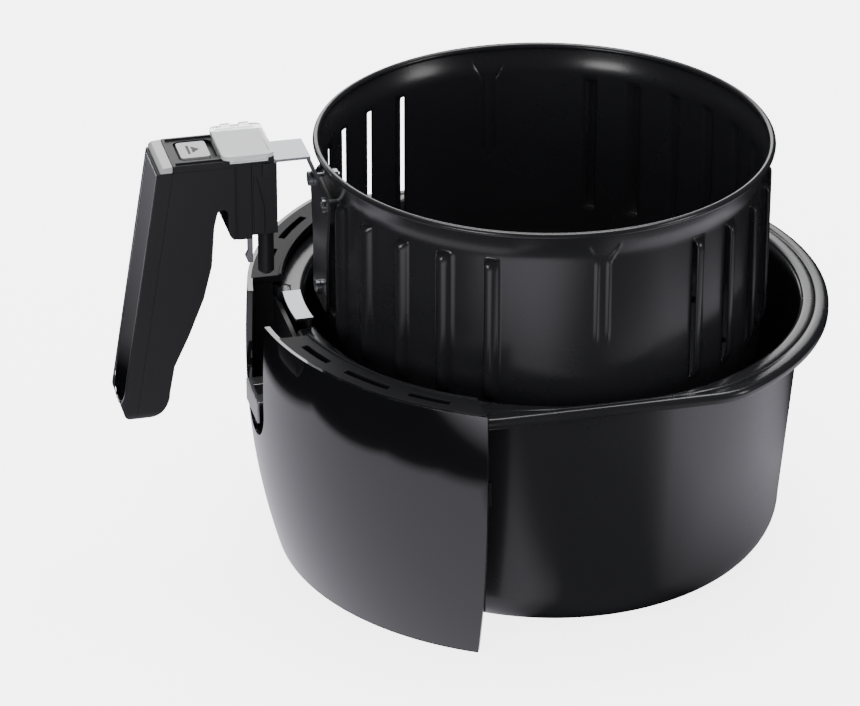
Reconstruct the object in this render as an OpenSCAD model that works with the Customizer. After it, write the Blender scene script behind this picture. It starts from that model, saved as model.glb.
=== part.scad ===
// Air fryer drawer: a round pan with a glossy front panel, and a lift-out
// basket on a pistol grip handle whose button works a steel latch.
// Origin: centre of the pan's flat bottom. +Z up, the handle points to -Y.
// The basket stands lifted; it slides down lift_drop to sit in the pan.

/* [Pan] */
// Outer radius of the pan's wall at its lip
pan_r = 110.2; // [106:0.1:125]
// Height of the pan, floor to lip
pan_h = 115.3; // [108:0.1:128]
// Sheet thickness of the pan
pan_t = 1.4; // [1:0.1:2]
// Draft of the pan's wall in degrees
pan_draft = 4.7; // [2:0.1:6]
// Corner radius between floor and wall
pan_corner = 18.5; // [8:0.5:24]
// How far the two sides of the wall are pressed flat
pan_flatten = 1.7; // [1:0.1:3]
// Width of the flange at the back
flange_w = 10.6; // [8:0.1:14]
// How far the flange's outer circle is set towards the front
flange_shift = 5.2; // [3:0.1:7]
// How far the flange is trimmed past the flattened sides
flange_side = 4.6; // [3:0.1:7]
// Depth of the flange's turned-down edge
flange_lip = 4.2; // [3:0.1:6]

/* [Front panel] */
// Gap from the pan's lip to the panel's widest outer face
panel_reach = 25.1; // [24:0.1:28]
// Height of the panel's top edge above the pan's lip
panel_rise = 5.1; // [4.6:0.1:8]
// Wall of the panel
panel_t = 2.5; // [2:0.1:3]
// Height at which the panel is widest
panel_waist = 85; // [80:1:95]
// Radius of the panel's vertical curve below the waist
panel_bow = 300; // [260:5:400]
// Distance of the panel's end edges in front of the pan's centre
panel_end = 59.5; // [50:0.5:75]
// Half width of the notch in the panel
notch_w = 17.8; // [16.5:0.1:20]
// Height of the notch's round bottom
notch_z = 61; // [56:0.5:64]
// Height of the collar's moulding
collar_h = 3.2; // [2.5:0.1:4]
// Gap between the pan's wall and the collar's inner edge
collar_gap = 8.1; // [7.8:0.1:9]
// Half width of the latch recess between the collar's halves
recess_w = 29.5; // [27:0.5:33]

/* [Basket] */
// Outer radius of the basket's wall
basket_r = 95.7; // [90:0.1:97]
// Height of the basket
basket_h = 99.7; // [92:0.1:104]
// Sheet thickness of the basket
basket_t = 1.1; // [0.8:0.1:1.5]
// Corner radius between the basket's floor and wall
basket_corner = 8; // [4:0.5:12]
// How far the rim stands out from the wall
rim_flare = 3.9; // [3:0.1:4.5]
// Height of the flared band below the rim
rim_h = 14; // [10:0.5:18]
// Radius of the rolled rim bead
bead_r = 1.5; // [1.2:0.1:2]
// Air slots in each quarter of the wall
slot_count = 5; // [3:1:5]
// Angle between air slots
slot_pitch = 12.46; // [11:0.01:13]
// Length of an air slot
slot_l = 62; // [40:1:66]
// Width of an air slot
slot_w = 3.4; // [2.5:0.1:4.5]
// Distance of a slot's top below the rim
slot_drop = 15; // [14:0.5:20]
// Rings of drain holes in the floor
hole_rings = 4; // [2:1:5]
// Radius of a drain hole
hole_r = 3.2; // [2:0.1:4]

/* [Lift] */
// Height of the basket's floor above the pan's floor when seated
seat_h = 20; // [18:0.5:24]
// How far down the basket slides to sit in the pan
lift_drop = 70; // [60:0.5:71]
// How far forward the basket moves over that drop
lift_shift = 4.5; // [3:0.1:5]

/* [Bracket] */
// Steel thickness of the basket's bracket
steel_t = 1.2; // [1:0.1:1.6]
// Gap between the basket's wall and the bracket's plate
bracket_gap = 3.6; // [3.2:0.1:4]
// Half width of the strap that carries the handle
strap_w = 9.5; // [8:0.1:10.5]
// Radius of a bracket screw's shank
screw_r = 2; // [1.5:0.1:2.2]

/* [Handle] */
// Width of the handle
handle_w = 29; // [28:0.1:31]
// Gap from the basket's wall to the rear of the latch cover
handle_out = 24.3; // [23:0.1:26]
// Height of the handle's deck above the basket's rim
deck_rise = 8.6; // [8:0.1:10]
// Length of the grip below the deck
grip_l = 119.3; // [110:0.1:122]
// Lean of the grip's front face in degrees
grip_lean = 9.3; // [6:0.1:10]
// Depth of the front shell, from the front face back to the seam
shell_d = 6.3; // [5:0.1:7.5]
// Wall of the handle's mouldings
handle_t = 3; // [2.5:0.1:3.2]
// Travel of the release button
button_travel = 2.5; // [2:0.1:2.5]
// Radius of the guide post under the latch cover
post_r = 3.5; // [3:0.1:3.8]
// Length of guide post that shows below the cover
post_l = 23; // [16:0.5:23]

/* [Hidden] */

// Clearances: moulded joints, moving pieces and turning pins
gap = 0.1;
play = 0.4;
pin_play = 0.05;
// A cutter runs this far past the face it cuts
over = 1;
big = 400;
fn_round = 160;
fn_shell = 90;
fn_small = 40;
fn_hole = 14;
arc_steps = 10;

// ---- Levels and radii worked out from the driving sizes ----
pan_tan = tan(pan_draft);
pan_flat = pan_r - pan_flatten;
flange_r = pan_r + flange_w + flange_shift;
flange_flat = pan_flat + flange_side;
panel_r = pan_r + panel_reach;
panel_top = pan_h + panel_rise;
collar_r = pan_r + collar_gap;
recess_back = collar_r;

basket_y = -lift_shift;
basket_z = seat_h + lift_drop;
rim_z = basket_z + basket_h;
rim_r = basket_r + rim_flare;
wall_y = basket_y - basket_r;
plate_y = wall_y - bracket_gap;

deck_z = rim_z + deck_rise;
cover_y = wall_y - handle_out;
half_w = handle_w / 2;
grip_tan = tan(grip_lean);
grip_z = deck_z - grip_l;
shift_per_mm = lift_shift / lift_drop;

// Outer radius of the pan's wall at height z
function pan_at(z) = pan_r - (pan_h - z) * pan_tan;

// Outer radius of the front panel at height z: an arc below the waist and a slight draw-in above
function panel_at(z) = let (dz = panel_waist - z)
    dz > 0 ? panel_r - panel_bow + sqrt(panel_bow * panel_bow - dz * dz)
           : panel_r - dz * dz / (4 * panel_bow);

// Points of an arc about c in the plane of a profile
function arc(c, r, a0, a1, n = arc_steps) =
    [for (i = [0:n]) let (a = a0 + (a1 - a0) * i / n) [c[0] + r * cos(a), c[1] + r * sin(a)]];

// ---- Shared forms ----

// The pan's outer form drawn in by inset, up to height top
module pan_form(inset, top) {
    r = pan_corner - inset;
    cz = pan_corner;
    cx = pan_at(cz - pan_corner * sin(pan_draft)) - pan_corner * cos(pan_draft);
    wall_top = pan_at(top) - inset / cos(pan_draft);
    side = pan_flat - inset / cos(pan_draft);
    intersection() {
        rotate_extrude($fn = fn_round)
            polygon(concat([[0, inset]], arc([cx, cz], r, -90, -pan_draft),
                [[wall_top, top], [0, top]]));
        rotate([90, 0, 0])
            linear_extrude(big, center = true)
                polygon([[-side + pan_h * pan_tan, 0], [side - pan_h * pan_tan, 0],
                    [side + (top - pan_h) * pan_tan, top],
                    [-side - (top - pan_h) * pan_tan, top]]);
    }
}

// The flange's outline drawn in by inset
module flange_outline(inset) {
    intersection() {
        translate([0, -flange_shift])
            circle(flange_r - inset, $fn = fn_round);
        square([2 * (flange_flat - inset), big], center = true);
    }
}

// The front panel's outer form drawn in by inset, from z0 to z1
module panel_form(inset, z0, z1) {
    steps = 24;
    rotate_extrude($fn = fn_round)
        polygon(concat([[0, z0]],
            [for (i = [0:steps]) let (z = z0 + (z1 - z0) * i / steps) [panel_at(z) - inset, z]],
            [[0, z1]]));
}

// Everything in front of the panel's end plane, or of a plane set back by extra
module front_half(extra = 0) {
    translate([-big / 2, -big - panel_end + extra, -big / 2])
        cube([big, big, big]);
}

// A rounded slot along X, cut downwards from z
module drop_slot(half_w, y0, y1, z0, z1) {
    r = (y1 - y0) / 2;
    for (s = [-1, 1])
        translate([s * (half_w - r), y0 + r, z0])
            cylinder(h = z1 - z0, r = r, $fn = fn_small);
    translate([-(half_w - r), y0, z0])
        cube([2 * (half_w - r), y1 - y0, z1 - z0]);
}

// A plate with rounded corners, from -w to w and y0 to y1, h high
module rounded_plate(w, y0, y1, r, h) {
    for (x = [-w + r, w - r])
        for (y = [y0 + r, y1 - r])
            translate([x, y, 0])
                cylinder(h = h, r = r, $fn = fn_small);
    translate([-w + r, y0, 0])
        cube([2 * (w - r), y1 - y0, h]);
    translate([-w, y0 + r, 0])
        cube([2 * w, y1 - y0 - 2 * r, h]);
}

// ---- Drawer ----

notch_cut_z = notch_z + notch_w;
tongue_w = 13.7;
notch_left = 9.5;
flange_cut_r = pan_r + gap / 2;

// Deep-drawn pan with its turned flange, cut back in front for the latch recess
module pan() {
    color("#1c1c1e") difference() {
        union() {
            pan_form(0, pan_h);
            translate([0, 0, pan_h - flange_lip])
                difference() {
                    linear_extrude(flange_lip) flange_outline(0);
                    translate([0, 0, -over])
                        linear_extrude(flange_lip - pan_t + over) flange_outline(pan_t);
                }
        }
        pan_form(pan_t, pan_h + over);
        for (x = [-1, 1] * rivet_x)
            translate([x, 0, rivet_z])
                rotate([90, 0, 0])
                    cylinder(h = big, r = rivet_r + gap, $fn = fn_small);
        // the flange stops at the recess
        translate([-recess_w - receiver_t - play, -big / 2, pan_h - flange_lip - over])
            cube([2 * (recess_w + receiver_t + play), big / 2 - recess_back + 0.8, flange_lip + 2 * over]);
        // and makes room for the bracket's tongue, with a notch on its left
        translate([-tongue_w - notch_left, -big / 2, pan_h - flange_lip - over])
            cube([2 * tongue_w + notch_left + 0.6, big / 2 - flange_cut_r, flange_lip + 2 * over]);
    }
}

// Glossy panel that wraps the pan's front, with a round-bottomed notch for the latch
module front_panel() {
    color("#101012") difference() {
        intersection() {
            difference() {
                panel_form(0, 0, panel_top);
                panel_form(panel_t, -over, panel_top + over);
            }
            front_half();
        }
        rotate([90, 0, 0])
            linear_extrude(big) {
                translate([0, notch_cut_z]) circle(notch_w, $fn = fn_small * 2);
                translate([-notch_w, notch_cut_z]) square([2 * notch_w, big]);
            }
    }
}

slot_ring_r = collar_r + 7.1;
collar_slot = 3;
collar_rib = 1.2;

// One half of the collar: a ledge with three curved slots and a raised inner edge
module collar_half(side) {
    z0 = panel_top - collar_h;
    spans = [[18.1, 26.4], [31.4, 42.2], [46.7, 55.3]];
    color("#2e2e31") mirror([side < 0 ? 1 : 0, 0, 0]) difference() {
        intersection() {
            union() {
                difference() {
                    panel_form(panel_t + gap, z0, panel_top);
                    translate([0, 0, z0 - over])
                        cylinder(h = collar_h + 2 * over, r = collar_r, $fn = fn_round);
                }
                translate([0, 0, panel_top - over])
                    difference() {
                        cylinder(h = over + collar_rib / 2, r = collar_r + collar_rib, $fn = fn_round);
                        translate([0, 0, -over])
                            cylinder(h = 4 * over, r = collar_r, $fn = fn_round);
                    }
            }
            front_half();
            translate([recess_w, -big, -over])
                cube([big, big, big]);
        }
        for (s = spans)
            rotate([0, 0, s[0] - 90])
                translate([0, 0, z0 - over])
                    rotate_extrude(angle = s[1] - s[0], $fn = fn_round)
                        translate([slot_ring_r - collar_slot / 2, 0])
                            square([collar_slot, collar_h + 2 * over]);
    }
}

module collar_left() {
    collar_half(-1);
}

module collar_right() {
    collar_half(1);
}

shelf_h = 2.6;
frame_low_z = 23;
frame_high_z = 79;
frame_tab_h = 11;
frame_tab_out = 3.6;

// Ring between pan and panel, drawn in by the fits on both sides
module frame_ring(z0, h) {
    intersection() {
        difference() {
            panel_form(panel_t + gap, z0, z0 + h);
            pan_form(-gap * 3, z0 + h + over);
        }
        front_half();
    }
}

// Hidden frame that holds the panel off the pan; its tabs show past the panel's end edges
module panel_frame() {
    color("#3a3a3d") {
        difference() {
            union() {
                frame_ring(frame_low_z, shelf_h);
                frame_ring(frame_high_z, shelf_h);
                for (s = [-1, 1])
                    for (a = [24, 44])
                        intersection() {
                            frame_ring(frame_low_z, frame_high_z - frame_low_z + shelf_h);
                            rotate([0, 0, s * a - 90])
                                translate([0, -shelf_h / 2, 0])
                                    cube([big, shelf_h, big]);
                        }
            }
            // room for the latch receiver
            translate([-recess_w - receiver_t - play, -big, frame_high_z - over])
                cube([2 * (recess_w + receiver_t + play), big, shelf_h + 2 * over]);
        }
        for (s = [-1, 1])
            for (z = [frame_low_z, frame_high_z])
                panel_tab(s, z);
    }
}

// A tab at one end of the frame, on the panel's inner face
module panel_tab(side, z) {
    y1 = -panel_end + frame_tab_out;
    z0 = z + shelf_h / 2 - frame_tab_h / 2;
    reach = 9;
    x_out = sqrt(pow(panel_at(z0) - panel_t - gap * 3, 2) - pow(panel_end + reach, 2)) - gap;
    translate([side > 0 ? x_out - shelf_h : -x_out, y1 - reach - frame_tab_out, z0])
        cube([shelf_h, reach + frame_tab_out, frame_tab_h]);
}

receiver_t = 2;
receiver_z = notch_z - 3;
receiver_top = panel_top - collar_h - gap;
guide_z = notch_z + 9;
guide_h = 2;
post_y = cover_y - 2.8;
hook_y = cover_y - 9.6;
catch_z = 79.8;
catch_back = 2;

// Black channel behind the notch: floor, sides and back, with a guide shelf for the post
module latch_receiver() {
    color("#161618") difference() {
        union() {
            intersection() {
                panel_form(panel_t + gap, receiver_z, receiver_top);
                difference() {
                    translate([-recess_w - receiver_t, -big, receiver_z])
                        cube([2 * (recess_w + receiver_t), big - recess_back + receiver_t,
                            receiver_top - receiver_z]);
                    translate([-recess_w, -big, receiver_z + receiver_t])
                        cube([2 * recess_w, big - recess_back, big]);
                }
            }
            // guide shelf
            translate([-recess_w - gap, -recess_back - guide_reach, guide_z])
                cube([2 * (recess_w + gap), guide_reach + gap, guide_h]);
        }
        // the back wall stops under the flange
        translate([-big / 2, -recess_back - gap, pan_h - flange_lip - play])
            cube([big, big, big]);
        // the post comes down through a slot in the shelf
        hull_free_slot(post_r + play, post_seat_y - post_r - play - 0.6,
            post_seat_y + post_r + play, guide_z - over, guide_z + guide_h + over);
        // screws from the pan's bracket
        for (x = [-1, 1] * receiver_screw_x)
            translate([x, -recess_back - over, receiver_screw_z])
                rotate([-90, 0, 0])
                    cylinder(h = receiver_t + 2 * over, r = receiver_screw_r + gap, $fn = fn_small);
    }
}

guide_reach = 8.4;
post_seat_y = post_y + lift_shift;
receiver_screw_x = 9;
receiver_screw_z = 84;
receiver_screw_r = 1.5;

// A slot of half width r between two levels, long in Y
module hull_free_slot(r, y0, y1, z0, z1) {
    for (y = [y0 + r, y1 - r])
        translate([0, y, z0])
            cylinder(h = z1 - z0, r = r, $fn = fn_small);
    translate([-r, y0 + r, z0])
        cube([2 * r, y1 - y0 - 2 * r, z1 - z0]);
}

// Steel catch across the notch: a plate on two legs, with a window for the hook and a
// turned-down front
module catch_plate() {
    y0 = hook_seat_tip - 2 * play - catch_back;
    y1 = post_seat_y - post_r - play - 0.7;
    w = 12;
    window = 4.6;
    drop = 9;
    leg_w = 3.8;
    color("#c9ccd0") difference() {
        union() {
            translate([-w, y0, catch_z])
                cube([2 * w, y1 - y0, steel_t]);
            translate([-w, y0, catch_z - drop])
                cube([2 * w, steel_t, drop + steel_t]);
            for (x = [-w, w - steel_t])
                translate([x, y1 - leg_w, receiver_z + receiver_t + gap])
                    cube([steel_t, leg_w, catch_z - receiver_z - receiver_t]);
        }
        translate([-window, hook_seat_tip - 2 * play, catch_z - over])
            cube([2 * window, big, steel_t + 2 * over]);
    }
}

hook_tip = 2.3;
hook_seat_tip = hook_y - hook_tip + lift_shift;

// Steel bracket on the pan's front: a leg down the wall and a tongue over the lip
module pan_bracket() {
    leg_top = panel_top - steel_t;
    leg_l = 40;
    tongue_in = 0.2;
    color("#c9ccd0") difference() {
        union() {
            intersection() {
                translate([0, 0, leg_top])
                    difference() {
                        cylinder(h = steel_t, r = recess_back - gap, $fn = fn_round);
                        translate([0, 0, -over])
                            cylinder(h = steel_t + 2 * over, r = pan_r + tongue_in, $fn = fn_round);
                    }
                translate([-tongue_w, -big, 0])
                    cube([2 * tongue_w, big, big]);
            }
            translate([-tongue_w, -bracket_leg_y - steel_t, leg_top - leg_l])
                cube([2 * tongue_w, steel_t, leg_l + gap]);
        }
        for (x = [-1, 1] * rivet_x)
            translate([x, -big / 2, rivet_z])
                rotate([-90, 0, 0])
                    cylinder(h = big / 2, r = rivet_r + gap, $fn = fn_small);
        for (x = [-1, 1] * receiver_screw_x)
            translate([x, -big / 2, receiver_screw_z])
                rotate([-90, 0, 0])
                    cylinder(h = big / 2, r = receiver_screw_r + gap, $fn = fn_small);
    }
}

bracket_leg_y = pan_r + 0.3;
rivet_x = 7;
rivet_z = pan_h - 8;
rivet_r = 1.6;

// Two rivets that hold the bracket to the pan's wall, headed on both sides
module bracket_rivets() {
    inner = pan_at(rivet_z) - pan_t - 0.8;
    color("#b4b7bb")
        for (x = [-1, 1] * rivet_x)
            translate([x, 0, rivet_z])
                rotate([90, 0, 0]) {
                    translate([0, 0, bracket_leg_y + steel_t + gap / 2])
                        cylinder(h = 1.2, r1 = 2 * rivet_r, r2 = rivet_r, $fn = fn_small);
                    translate([0, 0, inner - 1])
                        cylinder(h = bracket_leg_y + steel_t + 0.3 - inner + 1, r = rivet_r, $fn = fn_small);
                    translate([0, 0, inner - 1])
                        cylinder(h = 1, r1 = 1.4 * rivet_r, r2 = 1.7 * rivet_r, $fn = fn_small);
                }
}

// Two screws that hold the receiver to the bracket
module receiver_screws() {
    color("#b4b7bb")
        for (x = [-1, 1] * receiver_screw_x)
            translate([x, 0, receiver_screw_z])
                rotate([90, 0, 0]) {
                    translate([0, 0, bracket_leg_y + gap])
                        cylinder(h = recess_back - bracket_leg_y, r = receiver_screw_r, $fn = fn_small);
                    translate([0, 0, recess_back + gap])
                        cylinder(h = 1.2, r = 2 * receiver_screw_r, $fn = fn_small);
                }
}

// ---- Basket ----

flare_steps = 6;

// One side of the basket's wall, from the middle of the floor to the flare, drawn in by inset
function basket_side(inset, steps) = concat(
    [[0, inset]],
    arc([basket_r - basket_corner, basket_corner], basket_corner - inset, -90, 0, flare_steps),
    [for (i = [0:steps]) let (t = i / flare_steps)
        [basket_r - inset + rim_flare * (1 - cos(90 * t)), basket_h - rim_h + (rim_h - bead_r) * t]]);

function reversed(p) = [for (i = [len(p) - 1:-1:0]) p[i]];

// Basket with air slots in its wall, drain holes in its floor and a rolled rim
module basket_shell() {
    slot_z = basket_h - slot_drop - slot_l;
    ring_step = (basket_r - basket_corner - 3 * hole_r) / hole_rings;
    color("#1c1c1e") translate([0, basket_y, basket_z]) {
        difference() {
            rotate_extrude($fn = fn_shell)
                polygon(concat(basket_side(0, flare_steps - 1),
                    arc([rim_r - bead_r, basket_h - bead_r], bead_r, 0, 180, flare_steps),
                    reversed(basket_side(basket_t, flare_steps - 1))));
            for (a = slot_angles())
                rotate([0, 0, a])
                    translate([basket_r - 3 * basket_t, -slot_w / 2, slot_z])
                        cube([6 * basket_t, slot_w, slot_l]);
            for (i = [0:hole_rings])
                for (j = [0:max(6 * i, 1) - 1])
                    rotate([0, 0, j * 360 / max(6 * i, 1)])
                        translate([i * ring_step, 0, -over])
                            cylinder(h = basket_t + 2 * over, r = hole_r, $fn = fn_hole);
            for (p = bracket_holes)
                translate([p[0], 0, p[1] - basket_z])
                    rotate([90, 0, 0])
                        cylinder(h = big, r = screw_r + gap, $fn = fn_small);
        }
    }
}

// Angles of the air slots: both sides of the bracket, and all across the back
function slot_angles() = concat(
    [for (k = [1:slot_count]) -90 + k * slot_pitch],
    [for (k = [1:slot_count]) -90 - k * slot_pitch],
    [for (k = [-slot_count:slot_count]) 90 + k * slot_pitch]);

// Bracket screws: two below the rim and one at the plate's foot, as [x, z]
screw_high = rim_z - 16.5;
screw_low = rim_z - 62;
bracket_holes = [[-13.5, screw_high], [13.5, screw_high], [0, screw_low]];
plate_top = rim_z - 13.2;
plate_end = rim_z - 69.2;
strap_z = deck_z - 3.8;
strap_bend = plate_y - 6.6;
strap_end = cover_y - 24.6;

// Steel bracket: a plate on the basket, a slanting neck and the strap into the handle
module basket_bracket() {
    rise = strap_z - steel_t - plate_top;
    run = plate_y - strap_bend;
    slant = atan(run / rise);
    neck_l = norm([run, rise]);
    plate_w = 18;
    foot_w = 13;
    color("#d3d6da") difference() {
        union() {
            translate([0, plate_y + steel_t, 0])
                rotate([90, 0, 0])
                    linear_extrude(steel_t)
                        polygon(concat(
                            [[-plate_w + 3, plate_top], [plate_w - 3, plate_top],
                             [plate_w, screw_high], [foot_w, rim_z - 42]],
                            arc([foot_w - 4, plate_end + 4], 4, 0, -90),
                            arc([-foot_w + 4, plate_end + 4], 4, -90, -180),
                            [[-foot_w, rim_z - 42], [-plate_w, screw_high]]));
            translate([0, plate_y + steel_t, plate_top])
                rotate([90 + slant, 0, 0])
                    linear_extrude(steel_t)
                        polygon([[-plate_w + 3, 0], [plate_w - 3, 0],
                            [strap_w, neck_l + steel_t], [-strap_w, neck_l + steel_t]]);
            translate([-strap_w, strap_end, strap_z - steel_t])
                cube([2 * strap_w, strap_bend - strap_end + steel_t, steel_t]);
        }
        for (p = bracket_holes)
            translate([p[0], 0, p[1]])
                rotate([90, 0, 0])
                    cylinder(h = big, r = screw_r + gap, $fn = fn_small);
        for (y = strap_screw_ys)
            translate([0, y, strap_z - steel_t - over])
                cylinder(h = steel_t + 2 * over, r = screw_r + gap, $fn = fn_small);
    }
}

// Black pad that fills the gap between the basket's round wall and the flat plate
module bracket_spacer() {
    pad_w = 11;
    color("#151517") difference() {
        translate([-pad_w - 5, plate_y + steel_t + gap, plate_end + 2])
            cube([2 * pad_w + 10, bracket_gap + 3, plate_top - plate_end - 4]);
        translate([0, basket_y, plate_end])
            cylinder(h = big, r = basket_r + gap, $fn = fn_round);
        for (s = [-1, 1])
            translate([s * (pad_w + 5), 0, (screw_low + screw_high) / 2 - 6])
                cube([10, big, screw_high - screw_low - 4], center = true);
        for (p = bracket_holes)
            translate([p[0], 0, p[1]])
                rotate([90, 0, 0])
                    cylinder(h = big, r = screw_r + gap, $fn = fn_small);
    }
}

// Curved steel plate inside the basket that takes the nuts
module bracket_backing() {
    r1 = basket_r - basket_t - gap;
    color("#9a9da1") difference() {
        intersection() {
            translate([0, basket_y, plate_end + 1])
                difference() {
                    cylinder(h = plate_top - plate_end - 3, r = r1, $fn = fn_round);
                    translate([0, 0, -over])
                        cylinder(h = big, r = r1 - steel_t, $fn = fn_round);
                }
            translate([-18, -big, 0])
                cube([36, big, big]);
        }
        for (p = bracket_holes)
            translate([p[0], 0, p[1]])
                rotate([90, 0, 0])
                    cylinder(h = big, r = screw_r + gap, $fn = fn_small);
    }
}

screw_head_r = 3.2;
screw_head_h = 1.8;

// Bracket screws with crossed recesses in their heads
module bracket_screws() {
    reach = plate_y - basket_y - basket_r;
    color("#b9bcc0")
        for (p = bracket_holes)
            translate([p[0], plate_y - gap / 2, p[1]])
                rotate([90, 0, 0])
                    difference() {
                        union() {
                            cylinder(h = screw_head_h, r = screw_head_r, $fn = fn_small);
                            translate([0, 0, -screw_inside])
                                cylinder(h = screw_inside + over, r = screw_r, $fn = fn_small);
                        }
                        for (a = [0, 90])
                            rotate([0, 0, a])
                                translate([-2, -0.45, screw_head_h - 0.9])
                                    cube([4, 0.9, over + 0.9]);
                    }
}
screw_inside = 12;

// Domed nuts inside the basket
module bracket_nuts() {
    nut_h = 3.4;
    color("#b9bcc0")
        for (p = bracket_holes) {
            wall_in = sqrt(pow(basket_r - basket_t - steel_t - 2 * gap, 2) - pow(abs(p[0]) - screw_head_r, 2));
            translate([p[0], basket_y - wall_in + 1.1, p[1]])
                rotate([-90, 0, 0])
                    difference() {
                        cylinder(h = nut_h, r = screw_head_r, $fn = 6);
                        translate([0, 0, -over])
                            cylinder(h = nut_h + 2 * over, r = screw_r + pin_play, $fn = fn_small);
                    }
        }
}

// ---- Handle ----

// Y of the grip's front face at height z
function front_y(z) = cover_y - 50.5 - (deck_z - z) * grip_tan;

body_y = cover_y - 11;
nose_y = cover_y - 21.5;
nose_z = deck_z - 37.8;
gap_z = deck_z - 22.3;
grip_d = 19.4;
front_corner = 6;
rear_corner = 13;
side_corner = 5;
deck_t = 3;
trim_d = 5.8;
shoulder_z = deck_z - deck_t - gap;

// Y of the grip's rear face where its lower corner starts
grip_rear = front_y(grip_z + rear_corner) + grip_d;

// Rear face of the grip from low to high, as [below the deck, in front of the cover]
rear_curve = [[94, 46.2], [80, 39.6], [63, 32.8], [48, 29], [30, 27.6]];

// Side outline of the grip and arm, drawn in by inset and cut off at top
function grip_outline(inset, top) =
    let (fy = front_y(grip_z + front_corner))
    concat(
        [[front_y(top), top]],
        arc([fy + front_corner, grip_z + front_corner], front_corner - min(inset, front_corner - 1), 180, 270),
        arc([grip_rear - rear_corner, grip_z + rear_corner], rear_corner - inset, -90, 0),
        [for (p = rear_curve) [cover_y - p[1] - inset, deck_z - p[0]]],
        arc([nose_y - 2.4, gap_z - 2.4], 2.4 + inset, 170, 0, 8),
        arc([nose_y + 5.5, nose_z + 5.5], 5.5 - inset, 180, 270),
        [[body_y, nose_z + inset], [body_y, top]]);

// Front view of the grip: straight sides and a round lower end
module grip_front_view(inset) {
    rc = max(inset, side_corner);
    r = max(rc - inset, over / 2);
    rotate([90, 0, 0])
        linear_extrude(big, center = true) {
            for (s = [-1, 1])
                translate([s * (half_w - inset - r), grip_z + inset + r])
                    circle(r, $fn = fn_small * 2);
            translate([-half_w + inset + r, grip_z + inset])
                square([handle_w - 2 * (inset + r), 2 * side_corner]);
            translate([-half_w + inset, grip_z + inset + r])
                square([handle_w - 2 * inset, big]);
        }
}

// Extrudes a side outline over the width from -w to w
module across(w) {
    rotate([90, 0, 90])
        linear_extrude(2 * w, center = true)
            children();
}

// Everything behind the seam between front shell and body
module behind_seam(extra) {
    across(big / 2)
        polygon([[front_y(big) + shell_d + extra, big], [front_y(0) + shell_d + extra, 0],
            [0, 0], [0, big]]);
}

step_w = 1.6;
step_y = cover_y - 18.6;
cavity_w = half_w - handle_t;
cavity_z = deck_z - 19;
roof_z = strap_z - steel_t - gap;

// Rear moulding of the handle: grip, arm and nose, hollow for the lever
module handle_body() {
    color("#232326") difference() {
        intersection() {
            across(half_w)
                polygon(grip_outline(0, shoulder_z));
            grip_front_view(0);
            behind_seam(gap / 2);
        }
        // sides set back next to the cover
        for (x = [-big - half_w + step_w, half_w - step_w])
            translate([x, step_y, 0])
                cube([big, big, big]);
        // channel for the bracket's strap
        translate([-strap_w - play, deck_open_y - over, roof_z])
            cube([2 * (strap_w + play), big, big]);
        // hollow of the grip
        intersection() {
            across(cavity_w)
                polygon(grip_outline(handle_t, cavity_z - handle_t));
            grip_front_view(handle_t);
            behind_seam(-over);
            translate([-big / 2, nose_y - 2 * handle_t - big, 0])
                cube([big, big, cavity_z - 3 * handle_t]);
        }
        // hollow of the arm, open to the latch cover
        translate([-cavity_w, front_y(cavity_z) + shell_d + handle_t, cavity_z])
            cube([2 * cavity_w, big, roof_z - cavity_z - 2]);
        translate([-cavity_w, front_y(cavity_z) + shell_d + handle_t, cavity_z])
            cube([2 * cavity_w, deck_open_y - front_y(cavity_z) - shell_d - handle_t, big]);
        pin_bore(gap / 2);
        screw_bores(screw_r * 0.7);
        for (y = strap_screw_ys)
            translate([0, y, roof_z - 2 - over])
                cylinder(h = 3 + over, r = screw_r + gap, $fn = fn_small);
    }
}

deck_open_y = cover_y - 25.3;
strap_screw_ys = [cover_y - 13.2, cover_y - 20.5];

// Bores of the two screws that join front shell and body
module screw_bores(r) {
    for (z = handle_screw_zs)
        translate([0, front_y(z) + 1.5, z])
            rotate([-90, 0, 0])
                cylinder(h = 15, r = r + gap, $fn = fn_small);
}
handle_screw_zs = [grip_z + 25, grip_z + 62];
inlay_t = 1.2;
inlay_w = half_w - 2.3;
inlay_z = grip_z + 5;
inlay_top = deck_z - 4.5;

// Front view of the inlay, drawn in by inset
module inlay_view(inset) {
    r = inlay_w - 2;
    rotate([90, 0, 0])
        linear_extrude(big) {
            for (s = [-1, 1])
                translate([s * (inlay_w - r), inlay_z + r])
                    circle(r - inset, $fn = fn_small * 2);
            translate([-inlay_w + inset, inlay_z + r])
                square([2 * (inlay_w - inset), inlay_top - inlay_z - r - inset]);
        }
}

// A slab that follows the leaning front face, from d0 to d1 behind it
module face_slab(d0, d1) {
    across(big / 2)
        polygon([[front_y(0) + d0, 0], [front_y(0) + d1, 0],
            [front_y(deck_z) + d1, deck_z], [front_y(deck_z) + d0, deck_z]]);
}

// Front shell of the grip, with a shallow recess for the inlay
module handle_front() {
    color("#1b1b1e") difference() {
        intersection() {
            across(half_w)
                polygon(grip_outline(0, shoulder_z));
            grip_front_view(0);
            difference() {
                face_slab(-over, shell_d - gap / 2);
                translate([-big / 2, -big, shoulder_z])
                    cube([big, 2 * big, big]);
            }
        }
        intersection() {
            inlay_view(0);
            face_slab(-over, inlay_t + gap);
        }
        screw_bores(screw_r * 0.7);
        for (z = handle_screw_zs)
            translate([0, front_y(z) - over, z])
                rotate([-90, 0, 0])
                    cylinder(h = over + 3.6, r = screw_head_r - 0.5, $fn = fn_small);
    }
}

border_w = 0.9;

// Glossy insert in the grip's front face
module handle_inlay() {
    color("#0a0a0c") intersection() {
        inlay_view(border_w + gap);
        face_slab(0.1, inlay_t);
    }
}

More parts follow.
